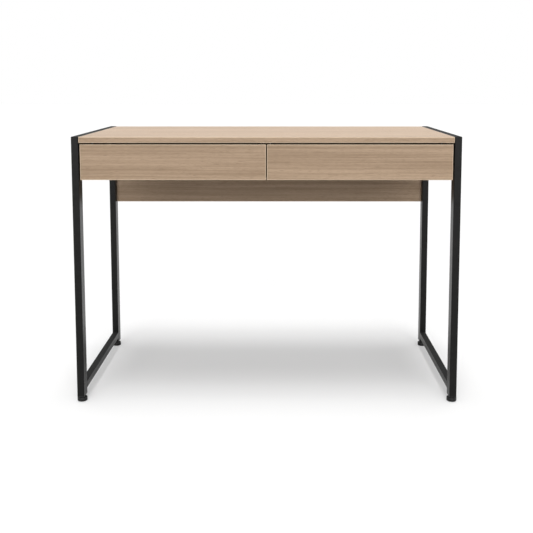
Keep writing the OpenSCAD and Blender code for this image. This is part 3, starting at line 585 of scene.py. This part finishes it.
@dataclass(frozen=True)
class Coating(Finish):
    """Opaque coat or moulded plastic with a fine stipple.

    Attributes:
        colour: The coat's colour.
        specular: Strength of its reflections.
        grain_scale: Grains per metre.
        relief: Height of the grains.
        dust: How much rougher dust makes the faces that look up.
        SMEAR_ROUGHNESS, GRAIN_ROUGHNESS: What these add to the roughness.
        GRAIN_MIDDLE: Height of the grains that adds nothing.
        UP_RANGE: Part of the normal along Z where dust starts, and where it is full.
    """

    colour: Colour
    specular: float
    grain_scale: float
    relief: float
    dust: float = 0.5
    SMEAR_ROUGHNESS, GRAIN_ROUGHNESS = 0.22, 0.10
    GRAIN_MIDDLE = 0.8
    UP_RANGE = (0.6, 0.95)

    def build(self, effects: Effects) -> Material:
        """Makes the material.

        Args:
            effects: The shared node groups.

        Returns:
            The material.
        """
        graph = Surface(self.slot, Specular_IOR_Level=self.specular)
        place, normal = graph.coordinates()
        stipple = graph.group(effects.stipple, Vector=place, Scale=self.grain_scale)
        smears = graph.group(effects.handling, Vector=place)["Smears"]
        colour = graph.blend(stipple["Cloud"], toned(self.colour, 0.8), toned(self.colour, 1.35))
        rough = graph.total(
            self.roughness,
            graph.swing(smears, self.SMEAR_ROUGHNESS),
            graph.swing(stipple["Height"], self.GRAIN_ROUGHNESS, self.GRAIN_MIDDLE),
            graph.times(graph.ramp(graph.split(normal)[2], *self.UP_RANGE), self.dust),
        )
        return graph.wire(colour, rough, stipple["Height"], self.relief)


@dataclass(frozen=True)
class Metal(Finish):
    """Plated steel with rolling lines, scratches and dull patches.

    Attributes:
        colour: Colour of the bright metal.
        dull: Colour of its duller patches.
        line_share: Strength of the rolling lines.
        relief: Height of the lines and depth of the scratches.
        DULL_RANGE: Where a dull patch starts, and where it is full.
        DULL_ROUGHNESS, SCRATCH_ROUGHNESS: What these add to the roughness.
    """

    colour: Colour
    dull: Colour
    line_share: float
    relief: float = 0.000008
    DULL_RANGE = (0.42, 0.62)
    DULL_ROUGHNESS, SCRATCH_ROUGHNESS = 0.10, 0.12

    def build(self, effects: Effects) -> Material:
        """Makes the material.

        Args:
            effects: The shared node groups.

        Returns:
            The material.
        """
        graph = Surface(self.slot, Metallic=1.0)
        place, _ = graph.coordinates()
        brushing = graph.group(effects.brushing, Vector=place)
        patches = graph.ramp(graph.group(effects.handling, Vector=place)["Smears"], *self.DULL_RANGE)
        colour = graph.blend(patches, self.colour, self.dull)
        rough = graph.total(
            self.roughness,
            graph.times(patches, self.DULL_ROUGHNESS),
            graph.swing(brushing["Lines"], self.line_share),
            graph.times(brushing["Scratches"], self.SCRATCH_ROUGHNESS),
        )
        lines = graph.times(brushing["Lines"], self.line_share)
        height = graph.math("SUBTRACT", lines, brushing["Scratches"])
        return graph.wire(colour, rough, height, self.relief)


OAK = Wood(
    slot="oak_veneer",
    roughness=0.42,
    light=linear(201, 174, 147),
    dark=linear(145, 120, 94),
    pore=linear(108, 84, 62),
    # The edge colour is a painted highlight along the arrises.
    edge=linear(228, 206, 178),
    band_share=0.95,
    streak_share=1.25,
    fibre_share=0.3,
    arris_highlight_share=0.72,
    arris_highlight_width=0.0024,
    # Reach of the painted shade in the gaps between the fronts, the top and the legs.
    painted_shade_reach=0.012,
)
BOX_WOOD = Wood(
    slot="drawer_box_wood",
    roughness=0.40,
    light=linear(214, 194, 164),
    dark=linear(190, 166, 132),
    pore=linear(160, 134, 100),
    # The edge colour is a faint painted highlight along the arrises.
    edge=linear(222, 204, 176),
    band_share=0.6,
    streak_share=0.7,
    arris_highlight_share=0.2,
    relief=0.00003,
)
BOTTOM = Fibreboard(
    slot="drawer_bottom_board",
    roughness=0.42,
    print_colour=linear(216, 200, 174),
    raw=linear(150, 112, 76),
)
POWDER_COAT = Coating(
    slot="black_powder_coat",
    roughness=0.28,
    colour=linear(22, 22, 21),
    specular=0.155,
    grain_scale=1500.0,
    relief=0.00003,
)
PLASTIC = Coating(
    slot="black_plastic",
    roughness=0.45,
    colour=linear(20, 20, 20),
    specular=0.35,
    grain_scale=2600.0,
    relief=0.000015,
)
ZINC = Metal(
    slot="zinc_plated_steel",
    roughness=0.28,
    colour=linear(202, 204, 206),
    dull=linear(176, 178, 176),
    line_share=0.05,
)
SLIDE_STEEL = Metal(
    slot="slide_steel",
    roughness=0.26,
    colour=linear(196, 198, 200),
    dull=linear(184, 187, 190),
    line_share=0.10,
)
CAGE_STEEL = Metal(
    slot="cage_steel",
    roughness=0.24,
    colour=linear(184, 184, 186),
    dull=linear(160, 160, 162),
    line_share=0.12,
)


class Finishes:
    """The materials that several nodes share, and the effects behind all finishes."""

    def __init__(self) -> None:
        """Makes them."""
        self.effects = Effects()
        self.coat, self.plastic, self.zinc, self.rails, self.cages, self.bottom = (
            finish.build(self.effects)
            for finish in (POWDER_COAT, PLASTIC, ZINC, SLIDE_STEEL, CAGE_STEEL, BOTTOM)
        )


# Meshes worked out as whole arrays

ROUND_STEPS = 96
POLE_RADIUS = 0.0002


@dataclass(frozen=True)
class Patch:
    """Part of a mesh.

    Attributes:
        points: One row of three coordinates per vertex.
        quads: Four vertex numbers per face.
        triangles: Three vertex numbers per face.
    """

    points: NDArray
    quads: NDArray
    triangles: NDArray

    @staticmethod
    def grid(points: NDArray, wrap_rows: bool, wrap_columns: bool, poles: bool = False) -> "Patch":
        """Covers a surface of two parameters with quads.

        Vertex (i, j) joins its neighbours (i + 1, j), (i + 1, j + 1) and (i, j + 1). With
        poles, the first and the last row each close in a fan round their middle.

        Args:
            points: Rows by columns by three coordinates.
            wrap_rows: Whether the last row joins the first.
            wrap_columns: Whether the last column joins the first.
            poles: Whether the end rows are closed.

        Returns:
            The patch.
        """
        rows, columns = points.shape[:2]
        numbers = np.arange(rows * columns).reshape(rows, columns)
        if wrap_rows:
            numbers = np.vstack([numbers, numbers[:1]])
        if wrap_columns:
            numbers = np.hstack([numbers, numbers[:, :1]])
        corners = [numbers[:-1, :-1], numbers[:-1, 1:], numbers[1:, 1:], numbers[1:, :-1]]
        quads = np.stack([c.ravel() for c in corners], axis=1)
        flat = points.reshape(-1, 3)
        fans = np.zeros((0, 3), int)
        if poles:
            first, last = numbers[0], numbers[-1]
            centres = np.array([points[0].mean(axis=0), points[-1].mean(axis=0)])
            start, end = (np.full(len(first) - 1, len(flat) + i) for i in (0, 1))
            flat = np.vstack([flat, centres])
            fans = np.vstack(
                [
                    np.stack([start, first[1:], first[:-1]], axis=1),
                    np.stack([end, last[:-1], last[1:]], axis=1),
                ]
            )
        return Patch(flat, quads, fans)

    @staticmethod
    def joined(patches: list["Patch"]) -> "Patch":
        """Puts patches into one.

        Args:
            patches: The patches.

        Returns:
            One patch with all their faces.
        """
        starts = np.cumsum([0] + [len(p.points) for p in patches[:-1]])
        return Patch(
            np.vstack([p.points for p in patches]),
            np.vstack([p.quads + s for p, s in zip(patches, starts)]),
            np.vstack([p.triangles + s for p, s in zip(patches, starts)]),
        )

    def moved(self, x: float, y: float, z: float) -> "Patch":
        """Gives a copy that is moved by x, y and z."""
        return Patch(self.points + np.array([x, y, z]), self.quads, self.triangles)

    def piece(self, name: str, material: Material, sharp: float = 35.0) -> bpy.types.Object:
        """Makes an object of the patch.

        Args:
            name: The object's name.
            material: Its material.
            sharp: Angle in degrees from which an edge stays sharp.

        Returns:
            The object, with its place in its mesh.
        """
        mesh = bpy.data.meshes.new(name)
        corners = np.concatenate([self.quads.ravel(), self.triangles.ravel()]).astype(np.int32)
        sizes = np.concatenate([np.full(len(self.quads), 4), np.full(len(self.triangles), 3)])
        starts = np.concatenate([[0], np.cumsum(sizes)[:-1]]).astype(np.int32)
        mesh.vertices.add(len(self.points))
        mesh.vertices.foreach_set("co", self.points.astype(np.float32).ravel())
        mesh.loops.add(len(corners))
        mesh.loops.foreach_set("vertex_index", corners)
        mesh.polygons.add(len(sizes))
        mesh.polygons.foreach_set("loop_start", starts)
        mesh.polygons.foreach_set("use_smooth", np.ones(len(sizes), bool))
        mesh.update(calc_edges=True)
        mesh.validate()
        mesh.set_sharp_from_angle(angle=math.radians(sharp))
        mesh.materials.append(material)
        made = bpy.data.objects.new(name, mesh)
        bpy.context.scene.collection.objects.link(made)
        return made


def around(count: int) -> NDArray:
    """Gives that many evenly spaced angles of one turn, in radians."""
    return np.linspace(0.0, 2 * math.pi, count, endpoint=False)


def arc(centre: tuple[float, float], radius: float, start: float, end: float, count: int = 7) -> NDArray:
    """Gives points on an arc.

    Args:
        centre: Its middle.
        radius: Its radius.
        start: Its first angle in degrees.
        end: Its last angle in degrees.
        count: How many points.

    Returns:
        One row of two coordinates per point.
    """
    angles = np.radians(np.linspace(start, end, count))
    return np.stack([centre[0] + radius * np.cos(angles), centre[1] + radius * np.sin(angles)], axis=1)


def spun(r: NDArray, angles: NDArray, z: NDArray) -> NDArray:
    """Gives the points (r cos a, r sin a, z) round the Z axis.

    Args:
        r: Radius per row, or per row and angle.
        angles: The angles a, one row of them.
        z: Height per row.

    Returns:
        Rows by angles by three coordinates.
    """
    x, y = r * np.cos(angles), r * np.sin(angles)
    return np.stack([x, y, np.broadcast_to(z, x.shape)], axis=2)


# Sub-assemblies


def dress(node: str, material: Material) -> None:
    """Gives a CAD node a material.

    Args:
        node: The node's name.
        material: The material.
    """
    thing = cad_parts[node]
    for place in thing.material_slots:
        place.material = material
    LOG.info("dressed %s with %s", node, material.name)


def add(piece: bpy.types.Object, body: str, slot: str, *replaced: str) -> None:
    """Lets a new piece ride on its body.

    Args:
        piece: The piece.
        body: The CAD body that it moves with.
        slot: The record's material slot of its finish. Not used.
        *replaced: CAD nodes that it stands for.
    """
    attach(piece, body)
    if replaced:
        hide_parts(*replaced)
    LOG.info("made %s, %d faces", piece.name, len(piece.data.polygons))


@dataclass(frozen=True)
class SideFrame:
    """One of the two welded steel frames.

    Attributes:
        side: left or right.
        bead: Leg length of a fillet weld.
        pitch: Spacing of the ripples in a weld.
        ripple: Height of the ripples as a share of the bead.
        bow: How far the ripples bow, in pitches.
        margin: What a weld keeps clear of the rail's sides.
        sunk: How deep its corner lies in the steel.
        SECTIONS, SECTION_POINTS: Sections of a weld, and points on their rounds.
        END_POWER, END_LEAST: How blunt the ends are, and the least that is left there.
    """

    side: str
    bead: float = 0.0028
    pitch: float = 0.0013
    ripple: float = 0.09
    bow: float = 0.35
    margin: float = 0.0012
    sunk: float = 0.0002
    SECTIONS, SECTION_POINTS = 96, 9
    END_POWER, END_LEAST = 8, 0.02

    def build(self, finishes: Finishes) -> None:
        """Dresses the tubes and lays the welds.

        Args:
            finishes: The shared materials.
        """
        for part in ("front_leg", "rear_leg", "top_rail", "foot_rail"):
            dress(f"{self.side}_{part}", finishes.coat)
        welds = Patch.joined(self._fillets())
        made = welds.piece(f"{self.side}_frame_welds", finishes.coat, sharp=60.0)
        add(made, "desk", POWDER_COAT.slot)

    def _fillets(self) -> list[Patch]:
        """Gives the fillets at the foot rail's ends and in the frame's upper corners."""
        low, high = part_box(f"{self.side}_foot_rail")
        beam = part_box(f"{self.side}_top_rail")[0].z
        return [
            self._fillet(low.x, high.x, wall, height, to_y, to_z)
            for wall, to_y in ((low.y, 1), (high.y, -1))
            for height, to_z in ((high.z, 1), (low.z, -1), (beam, -1))
        ]

    def _fillet(self, x0: float, x1: float, y: float, z: float, to_y: int, to_z: int) -> Patch:
        """Lays one rippled fillet along X in the corner at (y, z).

        The section is a quarter round of radius r with its corner sunk into the steel. r is
        the bead's size times 1 + ripple cos(2 pi (s / pitch + bow sin(2 a))), and falls away
        at both ends as the square root of 1 - t to the eighth, with t from -1 to 1 along the
        weld.

        Args:
            x0: Where the weld starts.
            x1: Where it ends.
            y: The leg's face.
            z: The rail's face.
            to_y: Side of the corner that is open along Y, 1 or -1.
            to_z: Side of the corner that is open along Z, 1 or -1.

        Returns:
            The weld.
        """
        s = np.linspace(x0 + self.margin, x1 - self.margin, self.SECTIONS)[:, None]
        a = np.linspace(0.0, math.pi / 2, self.SECTION_POINTS)[None, :]
        t = (2 * s - x0 - x1) / (x1 - x0 - 2 * self.margin)
        taper = np.clip(1 - np.abs(t) ** self.END_POWER, self.END_LEAST, 1.0) ** 0.5
        ripple = 1 + self.ripple * np.cos(2 * math.pi * (s / self.pitch + self.bow * np.sin(2 * a)))
        radius = self.bead * taper * ripple
        inside = np.full((len(s), 1), -self.sunk)
        across = np.hstack([radius * np.cos(a), inside, inside, radius[:, :1]])
        rise = np.hstack([radius * np.sin(a), radius[:, -1:], inside, inside])
        points = np.stack([np.broadcast_to(s, across.shape), y + to_y * across, z + to_z * rise], axis=2)
        patch = Patch.grid(points, False, True, poles=True)
        if to_y * to_z < 0:
            patch = Patch(patch.points, patch.quads[:, ::-1], patch.triangles[:, ::-1])
        return patch


@dataclass(frozen=True)
class LevellingFoot:
    """A screw foot: a moulded base on a threaded stud.

    Attributes:
        place: front_left, front_right, rear_left or rear_right.
        edge: Radius of the base's round edges.
        sole: Height of the soft sole ring.
        step: Depth of the line over the sole, and chamfer of the socket.
        recess: Depth of the hollow under the base.
        hollow: Radius of that hollow's roof as a share of the base's.
        pitch: Pitch of the stud's thread.
        thread: Depth of the thread.
        steepness: What the thread's triangle is stretched by before its tips are cut.
        chamfer: Chamfer of the stud's upper end.
        THREAD_ROWS, THREAD_STEPS: Rows in a turn of the thread, and steps round it.
    """

    place: str
    edge: float = 0.0025
    sole: float = 0.0034
    step: float = 0.0003
    recess: float = 0.0008
    hollow: float = 0.6
    pitch: float = 0.00125
    thread: float = 0.00062
    steepness: float = 1.25
    chamfer: float = 0.001
    THREAD_ROWS, THREAD_STEPS = 7, 40

    def build(self, finishes: Finishes) -> None:
        """Makes the base and the stud in the places of their CAD nodes.

        Args:
            finishes: The shared materials.
        """
        body = f"{self.place}_levelling_foot"
        base_name, stud_name = f"{self.place}_foot", f"{self.place}_stud"
        low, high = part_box(base_name)
        centre = ((low.x + high.x) / 2, (low.y + high.y) / 2, low.z)
        stud_low, stud_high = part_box(stud_name)
        stud_r = (stud_high.x - stud_low.x) / 2
        base = self._base((high.x - low.x) / 2, high.z - low.z, stud_r, stud_low.z - low.z)
        made = base.moved(*centre).piece(f"{base_name}_base", finishes.plastic)
        add(made, body, PLASTIC.slot, base_name)
        stud = self._stud(stud_r, stud_high.z - stud_low.z).moved(*centre[:2], stud_low.z)
        made = stud.piece(f"{stud_name}_thread", finishes.zinc, sharp=80.0)
        add(made, body, ZINC.slot, stud_name)

    def _base(self, radius: float, height: float, bore: float, socket: float) -> Patch:
        """Turns the base: hollow sole, round edges, a fine step over the sole, and a socket.

        Args:
            radius: Outer radius.
            height: Height over all.
            bore: Radius of the stud's socket.
            socket: Height of the socket's floor.

        Returns:
            The base, standing on the origin.
        """
        e, step, roof = self.edge, self.step, radius * self.hollow
        profile = np.vstack(
            [
                [[POLE_RADIUS, self.recess], [roof, self.recess], [roof + self.recess, 0.0]],
                arc((radius - e, e), e, -90, 0),
                [[radius, self.sole - step], [radius - step, self.sole], [radius - step, self.sole + step]],
                [[radius, self.sole + 2 * step]],
                arc((radius - e, height - e), e, 0, 90),
                [[bore + step, height], [bore, height - step], [bore, socket], [POLE_RADIUS, socket]],
            ]
        )
        points = spun(profile[:, :1], around(ROUND_STEPS), profile[:, 1:])
        return Patch.grid(points, False, True, poles=True)

    def _stud(self, radius: float, length: float) -> Patch:
        """Cuts the thread: r = radius - thread * d, and d is the depth at z / pitch - a / 2 pi.

        d goes from 0 on the crest to 1 in the root. It is s w - (s - 1) / 2 held between the
        two, with w a triangle wave from 0 to 1 and s the steepness. The upper end is
        chamfered.

        Args:
            radius: Radius over the crests.
            length: Length of the stud.

        Returns:
            The stud, standing on the origin.
        """
        rows = int(length / self.pitch * self.THREAD_ROWS)
        z = np.linspace(0.0, length, rows)[:, None]
        a = around(self.THREAD_STEPS)
        phase = np.mod(z / self.pitch - a / (2 * math.pi), 1.0)
        cut = (self.steepness - 1) / 2
        depth = np.clip(self.steepness * (1 - np.abs(2 * phase - 1)) - cut, 0.0, 1.0)
        chamfer = np.clip(length - z, 0.0, self.chamfer) - self.chamfer
        r = np.minimum(radius - self.thread * depth, radius + chamfer)
        return Patch.grid(spun(r, a, z), False, True, poles=True)


@dataclass(frozen=True)
class LockNuts:
    """The four thin hexagon nuts over the feet.

    Attributes:
        washer_face: Share of the width across flats that the end chamfers leave flat.
        cone: How much wider the chamfer cone is for each metre from the end face.
        clearance: Clearance of the hole round the stud.
        RIM: Heights of the first rows above an end face.
    """

    washer_face: float = 0.94
    cone: float = 1.73
    clearance: float = 0.00005
    RIM = (0.0, 0.0003, 0.0006, 0.0009)

    def build(self, finishes: Finishes, feet: list[LevellingFoot]) -> None:
        """Makes the nuts in the place of their CAD node.

        Args:
            finishes: The shared materials.
            feet: The feet, whose studs they lie round.
        """
        low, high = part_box("lock_nuts")
        patches = []
        for foot in feet:
            stud_low, stud_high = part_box(f"{foot.place}_stud")
            x, y = (stud_low.x + stud_high.x) / 2, (stud_low.y + stud_high.y) / 2
            nearest = high.x if x > 0 else -low.x
            nut = self._nut(nearest - abs(x), (stud_high.x - stud_low.x) / 2, high.z - low.z)
            patches.append(nut.moved(x, y, low.z))
        made = Patch.joined(patches).piece("hexagon_lock_nuts", finishes.zinc, sharp=30.0)
        add(made, "desk", ZINC.slot, "lock_nuts")

    def _nut(self, corner: float, bore: float, height: float) -> Patch:
        """Shapes a nut: r(a, z) is the smaller of the hexagon's and the chamfer cone's radius.

        The hexagon's radius is f / cos(b), with f half the width across flats and b the
        angle from the nearest flat's middle. The cone's is w f + c d, with d the distance
        from the nearer end face, c the cone's value and w the share that stays flat.

        Args:
            corner: Radius over the corners.
            bore: Radius of the hole.
            height: Height of the nut.

        Returns:
            The nut, standing on the origin.
        """
        flat = corner * math.cos(math.pi / 6)
        a = around(ROUND_STEPS)
        from_flat = np.mod(a, math.pi / 3) - math.pi / 6
        rim = np.array(self.RIM)
        z = np.concatenate([rim, height - rim[::-1]])[:, None]
        cone = self.washer_face * flat + self.cone * np.minimum(z, height - z)
        outer = np.minimum(flat / np.cos(from_flat), cone)
        inner = np.full((2, len(a)), bore + self.clearance)
        heights = np.vstack([z, [[height], [0.0]]])
        return Patch.grid(spun(np.vstack([outer, inner]), a, heights), True, True)


class Case:
    """The desk top, back panel and drawer case with their fasteners."""

    def build(self, finishes: Finishes) -> None:
        """Dresses the boards and the fasteners.

        Args:
            finishes: The shared materials.
        """
        boards = {
            "desk_top": (Fibre.X, Fibre.Y, (0.0, 0.31, 0.4)),
            "back_panel": (Fibre.X, Fibre.Z, (6.4, 2.1, 1.52)),
            "left_case_side": (Fibre.Y, Fibre.Z, (3.1, 1.7, 0.3)),
            "right_case_side": (Fibre.Y, Fibre.Z, (4.6, 2.9, 0.7)),
            "centre_divider": (Fibre.Y, Fibre.Z, (5.2, 3.4, 1.9)),
        }
        for node, (along, ends, shift) in boards.items():
            dress(node, OAK.build(finishes.effects, node, along, ends, shift))
        fasteners = ("frame_bolts", "rivet_nuts", "cam_locks", "cam_dowels")
        for node in ("case_brackets", "bracket_screws", "case_screws", *fasteners):
            dress(node, finishes.zinc)


@dataclass(frozen=True)
class Drawer:
    """A drawer with its two slides.

    Attributes:
        side: left or right.
        shift: Moves the grain of its boards.
        BOX_SHIFT: Moves the grain of its box, along X and Z once more from board to board.
    """

    side: str
    shift: Point
    BOX_SHIFT = (1.3, 0.7, 0.4)

    def build(self, finishes: Finishes) -> None:
        """Dresses the drawer's boards, screws and slides.

        Args:
            finishes: The shared materials.
        """
        name, effects = f"{self.side}_drawer", finishes.effects
        (x, y, z), (more_x, more_y, more_z) = self.shift, self.BOX_SHIFT
        dress(f"{name}_front", OAK.build(effects, f"{name}_front", Fibre.X, Fibre.Z, self.shift))
        boards = {"box_front": Fibre.X, "box_back": Fibre.X, "left_side": Fibre.Y, "right_side": Fibre.Y}
        for index, (part, along) in enumerate(boards.items()):
            shift = (x + more_x * index, y + more_y, z + more_z * index)
            node = f"{name}_{part}"
            dress(node, BOX_WOOD.build(effects, node, along, Fibre.Z, shift))
        dress(f"{name}_bottom", finishes.bottom)
        dress(f"{name}_screws", finishes.zinc)
        for slide in ("left", "right"):
            for rail in ("cabinet_rail", "middle_rail", "drawer_rail"):
                dress(f"{name}_{slide}_{rail}", finishes.rails)
        for row in ("outer", "inner"):
            dress(f"{name}_{row}_ball_cages", finishes.cages)


# Studio


@dataclass(frozen=True)
class Lamp:
    """A wide soft lamp that shines evenly over the whole set.

    Attributes:
        name: Its name.
        strength: Its strength.
        tilt: Angle from straight overhead towards the front, in degrees.
        width: Angle that the lamp fills, in degrees.
        turn: Angle that the lamp is then turned round Z, in degrees.
    """

    name: str
    strength: float
    tilt: float
    width: float
    turn: float = 0.0

    def build(self) -> None:
        """Makes the lamp."""
        data = bpy.data.lights.new(self.name, "SUN")
        data.energy = self.strength
        data.angle = math.radians(self.width)
        lamp = bpy.data.objects.new(self.name, data)
        lamp.rotation_euler = (math.radians(self.tilt), 0.0, math.radians(self.turn))
        bpy.context.scene.collection.objects.link(lamp)


@dataclass(frozen=True)
class Studio:
    """Camera, lamps, floor and surroundings.

    Attributes:
        camera_place: Where the camera stands.
        pitch: How far it looks down, in radians.
        yaw: How far it looks to the left, in radians.
        sensor: Width of the sensor in millimetres.
        lens: Focal length in millimetres.
        shift: Shift of the lens across and up.
        ambient: Strength of the surroundings' own light.
        lamps: The soft lamps.
        floor_tone: The floor's colour for light that it hands on.
        mirrored_tone: The floor's colour as it shows in glossy faces.
        seen_tone: The floor's colour as the camera sees it.
        floor_glow: What is added there, so that the open floor is white.
        floor_half: Half the floor's width.
    """

    camera_place: Point = (0.0374, -2.6412, 0.90095)
    pitch: float = 0.1089
    yaw: float = 0.0021
    sensor: float = 36.0
    lens: float = 58.64
    shift: tuple[float, float] = (-0.0222, -0.17)
    ambient: float = 0.28
    lamps: tuple[Lamp, ...] = (
        Lamp("overhead_softbox_rear", 0.86, -1.5, 18.0),
        Lamp("overhead_softbox_middle", 0.86, 8.5, 18.0),
        Lamp("overhead_softbox_front", 0.86, 18.5, 18.0),
        Lamp("front_softbox", 2.2, 78.0, 56.0),
        Lamp("rear_left_softbox", 0.35, 70.0, 60.0, -120.0),
        Lamp("rear_right_softbox", 0.35, 70.0, 60.0, 120.0),
    )
    floor_tone: float = 0.17
    mirrored_tone: float = 0.68
    seen_tone: float = 0.53
    floor_glow: float = 0.350
    floor_half: float = 30.0

    def set_camera(self) -> None:
        """Makes the camera and makes it the scene's own."""
        data = bpy.data.cameras.new("camera")
        data.sensor_width = self.sensor
        data.lens = self.lens
        data.shift_x, data.shift_y = self.shift
        camera = bpy.data.objects.new("camera", data)
        camera.location = self.camera_place
        camera.rotation_euler = (math.pi / 2 - self.pitch, 0.0, self.yaw)
        scene = bpy.context.scene
        scene.collection.objects.link(camera)
        scene.camera = camera
        scene.view_settings.view_transform = "Standard"

    def build(self) -> None:
        """Makes the surroundings, the lamps and the floor."""
        self._surroundings()
        for lamp in self.lamps:
            lamp.build()
        self._floor()

    def _surroundings(self) -> None:
        """Makes the white surroundings, whose own light is the ambient light."""
        world = bpy.data.worlds.new("studio")
        bpy.context.scene.world = world
        world.use_nodes = True
        graph = Graph(world.node_tree)
        path = graph.node("ShaderNodeLightPath").outputs
        seen = graph.math("MAXIMUM", path["Is Camera Ray"], path["Is Glossy Ray"])
        strength = graph.total(self.ambient, graph.times(seen, 1.0 - self.ambient))
        background = graph.tree.nodes["Background"]
        background.inputs["Color"].default_value = WHITE
        graph.put(background.inputs["Strength"], strength)

    def _floor(self) -> None:
        """Makes the plain white floor, which keeps the desk's shadow."""
        x = np.array([-self.floor_half, self.floor_half])
        points = np.stack([*np.meshgrid(x, x), np.zeros((2, 2))], axis=2)
        graph = Surface("white_floor", Roughness=1.0, Specular_IOR_Level=0.0, Emission_Color=WHITE)
        path = graph.node("ShaderNodeLightPath").outputs
        seen, mirrored = path["Is Camera Ray"], path["Is Glossy Ray"]
        tone = graph.total(
            self.floor_tone,
            graph.times(seen, self.seen_tone - self.floor_tone),
            graph.times(mirrored, self.mirrored_tone - self.floor_tone),
        )
        colour = graph.node("ShaderNodeCombineColor", {0: tone, 1: tone, 2: tone}).outputs[0]
        graph.put(graph.shader.inputs["Base Color"], colour)
        graph.put(graph.shader.inputs["Emission Strength"], graph.times(seen, self.floor_glow))
        floor = Patch.grid(points, False, False).piece("floor", graph.material)


def main() -> None:
    """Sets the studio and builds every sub-assembly."""
    logging.basicConfig(level=logging.INFO, format="%(name)s: %(message)s")
    studio = Studio()
    studio.set_camera()
    studio.build()
    finishes = Finishes()
    for side in ("left", "right"):
        SideFrame(side).build(finishes)
    dress("leg_plugs", finishes.plastic)
    feet = [LevellingFoot(f"{end}_{side}") for end in ("front", "rear") for side in ("left", "right")]
    for foot in feet:
        foot.build(finishes)
    LockNuts().build(finishes, feet)
    Case().build(finishes)
    for drawer in (Drawer("left", (7.3, 0.2, 0.35)), Drawer("right", (9.9, 0.6, 2.15))):
        drawer.build(finishes)


if __name__ == "__main__":
    main()
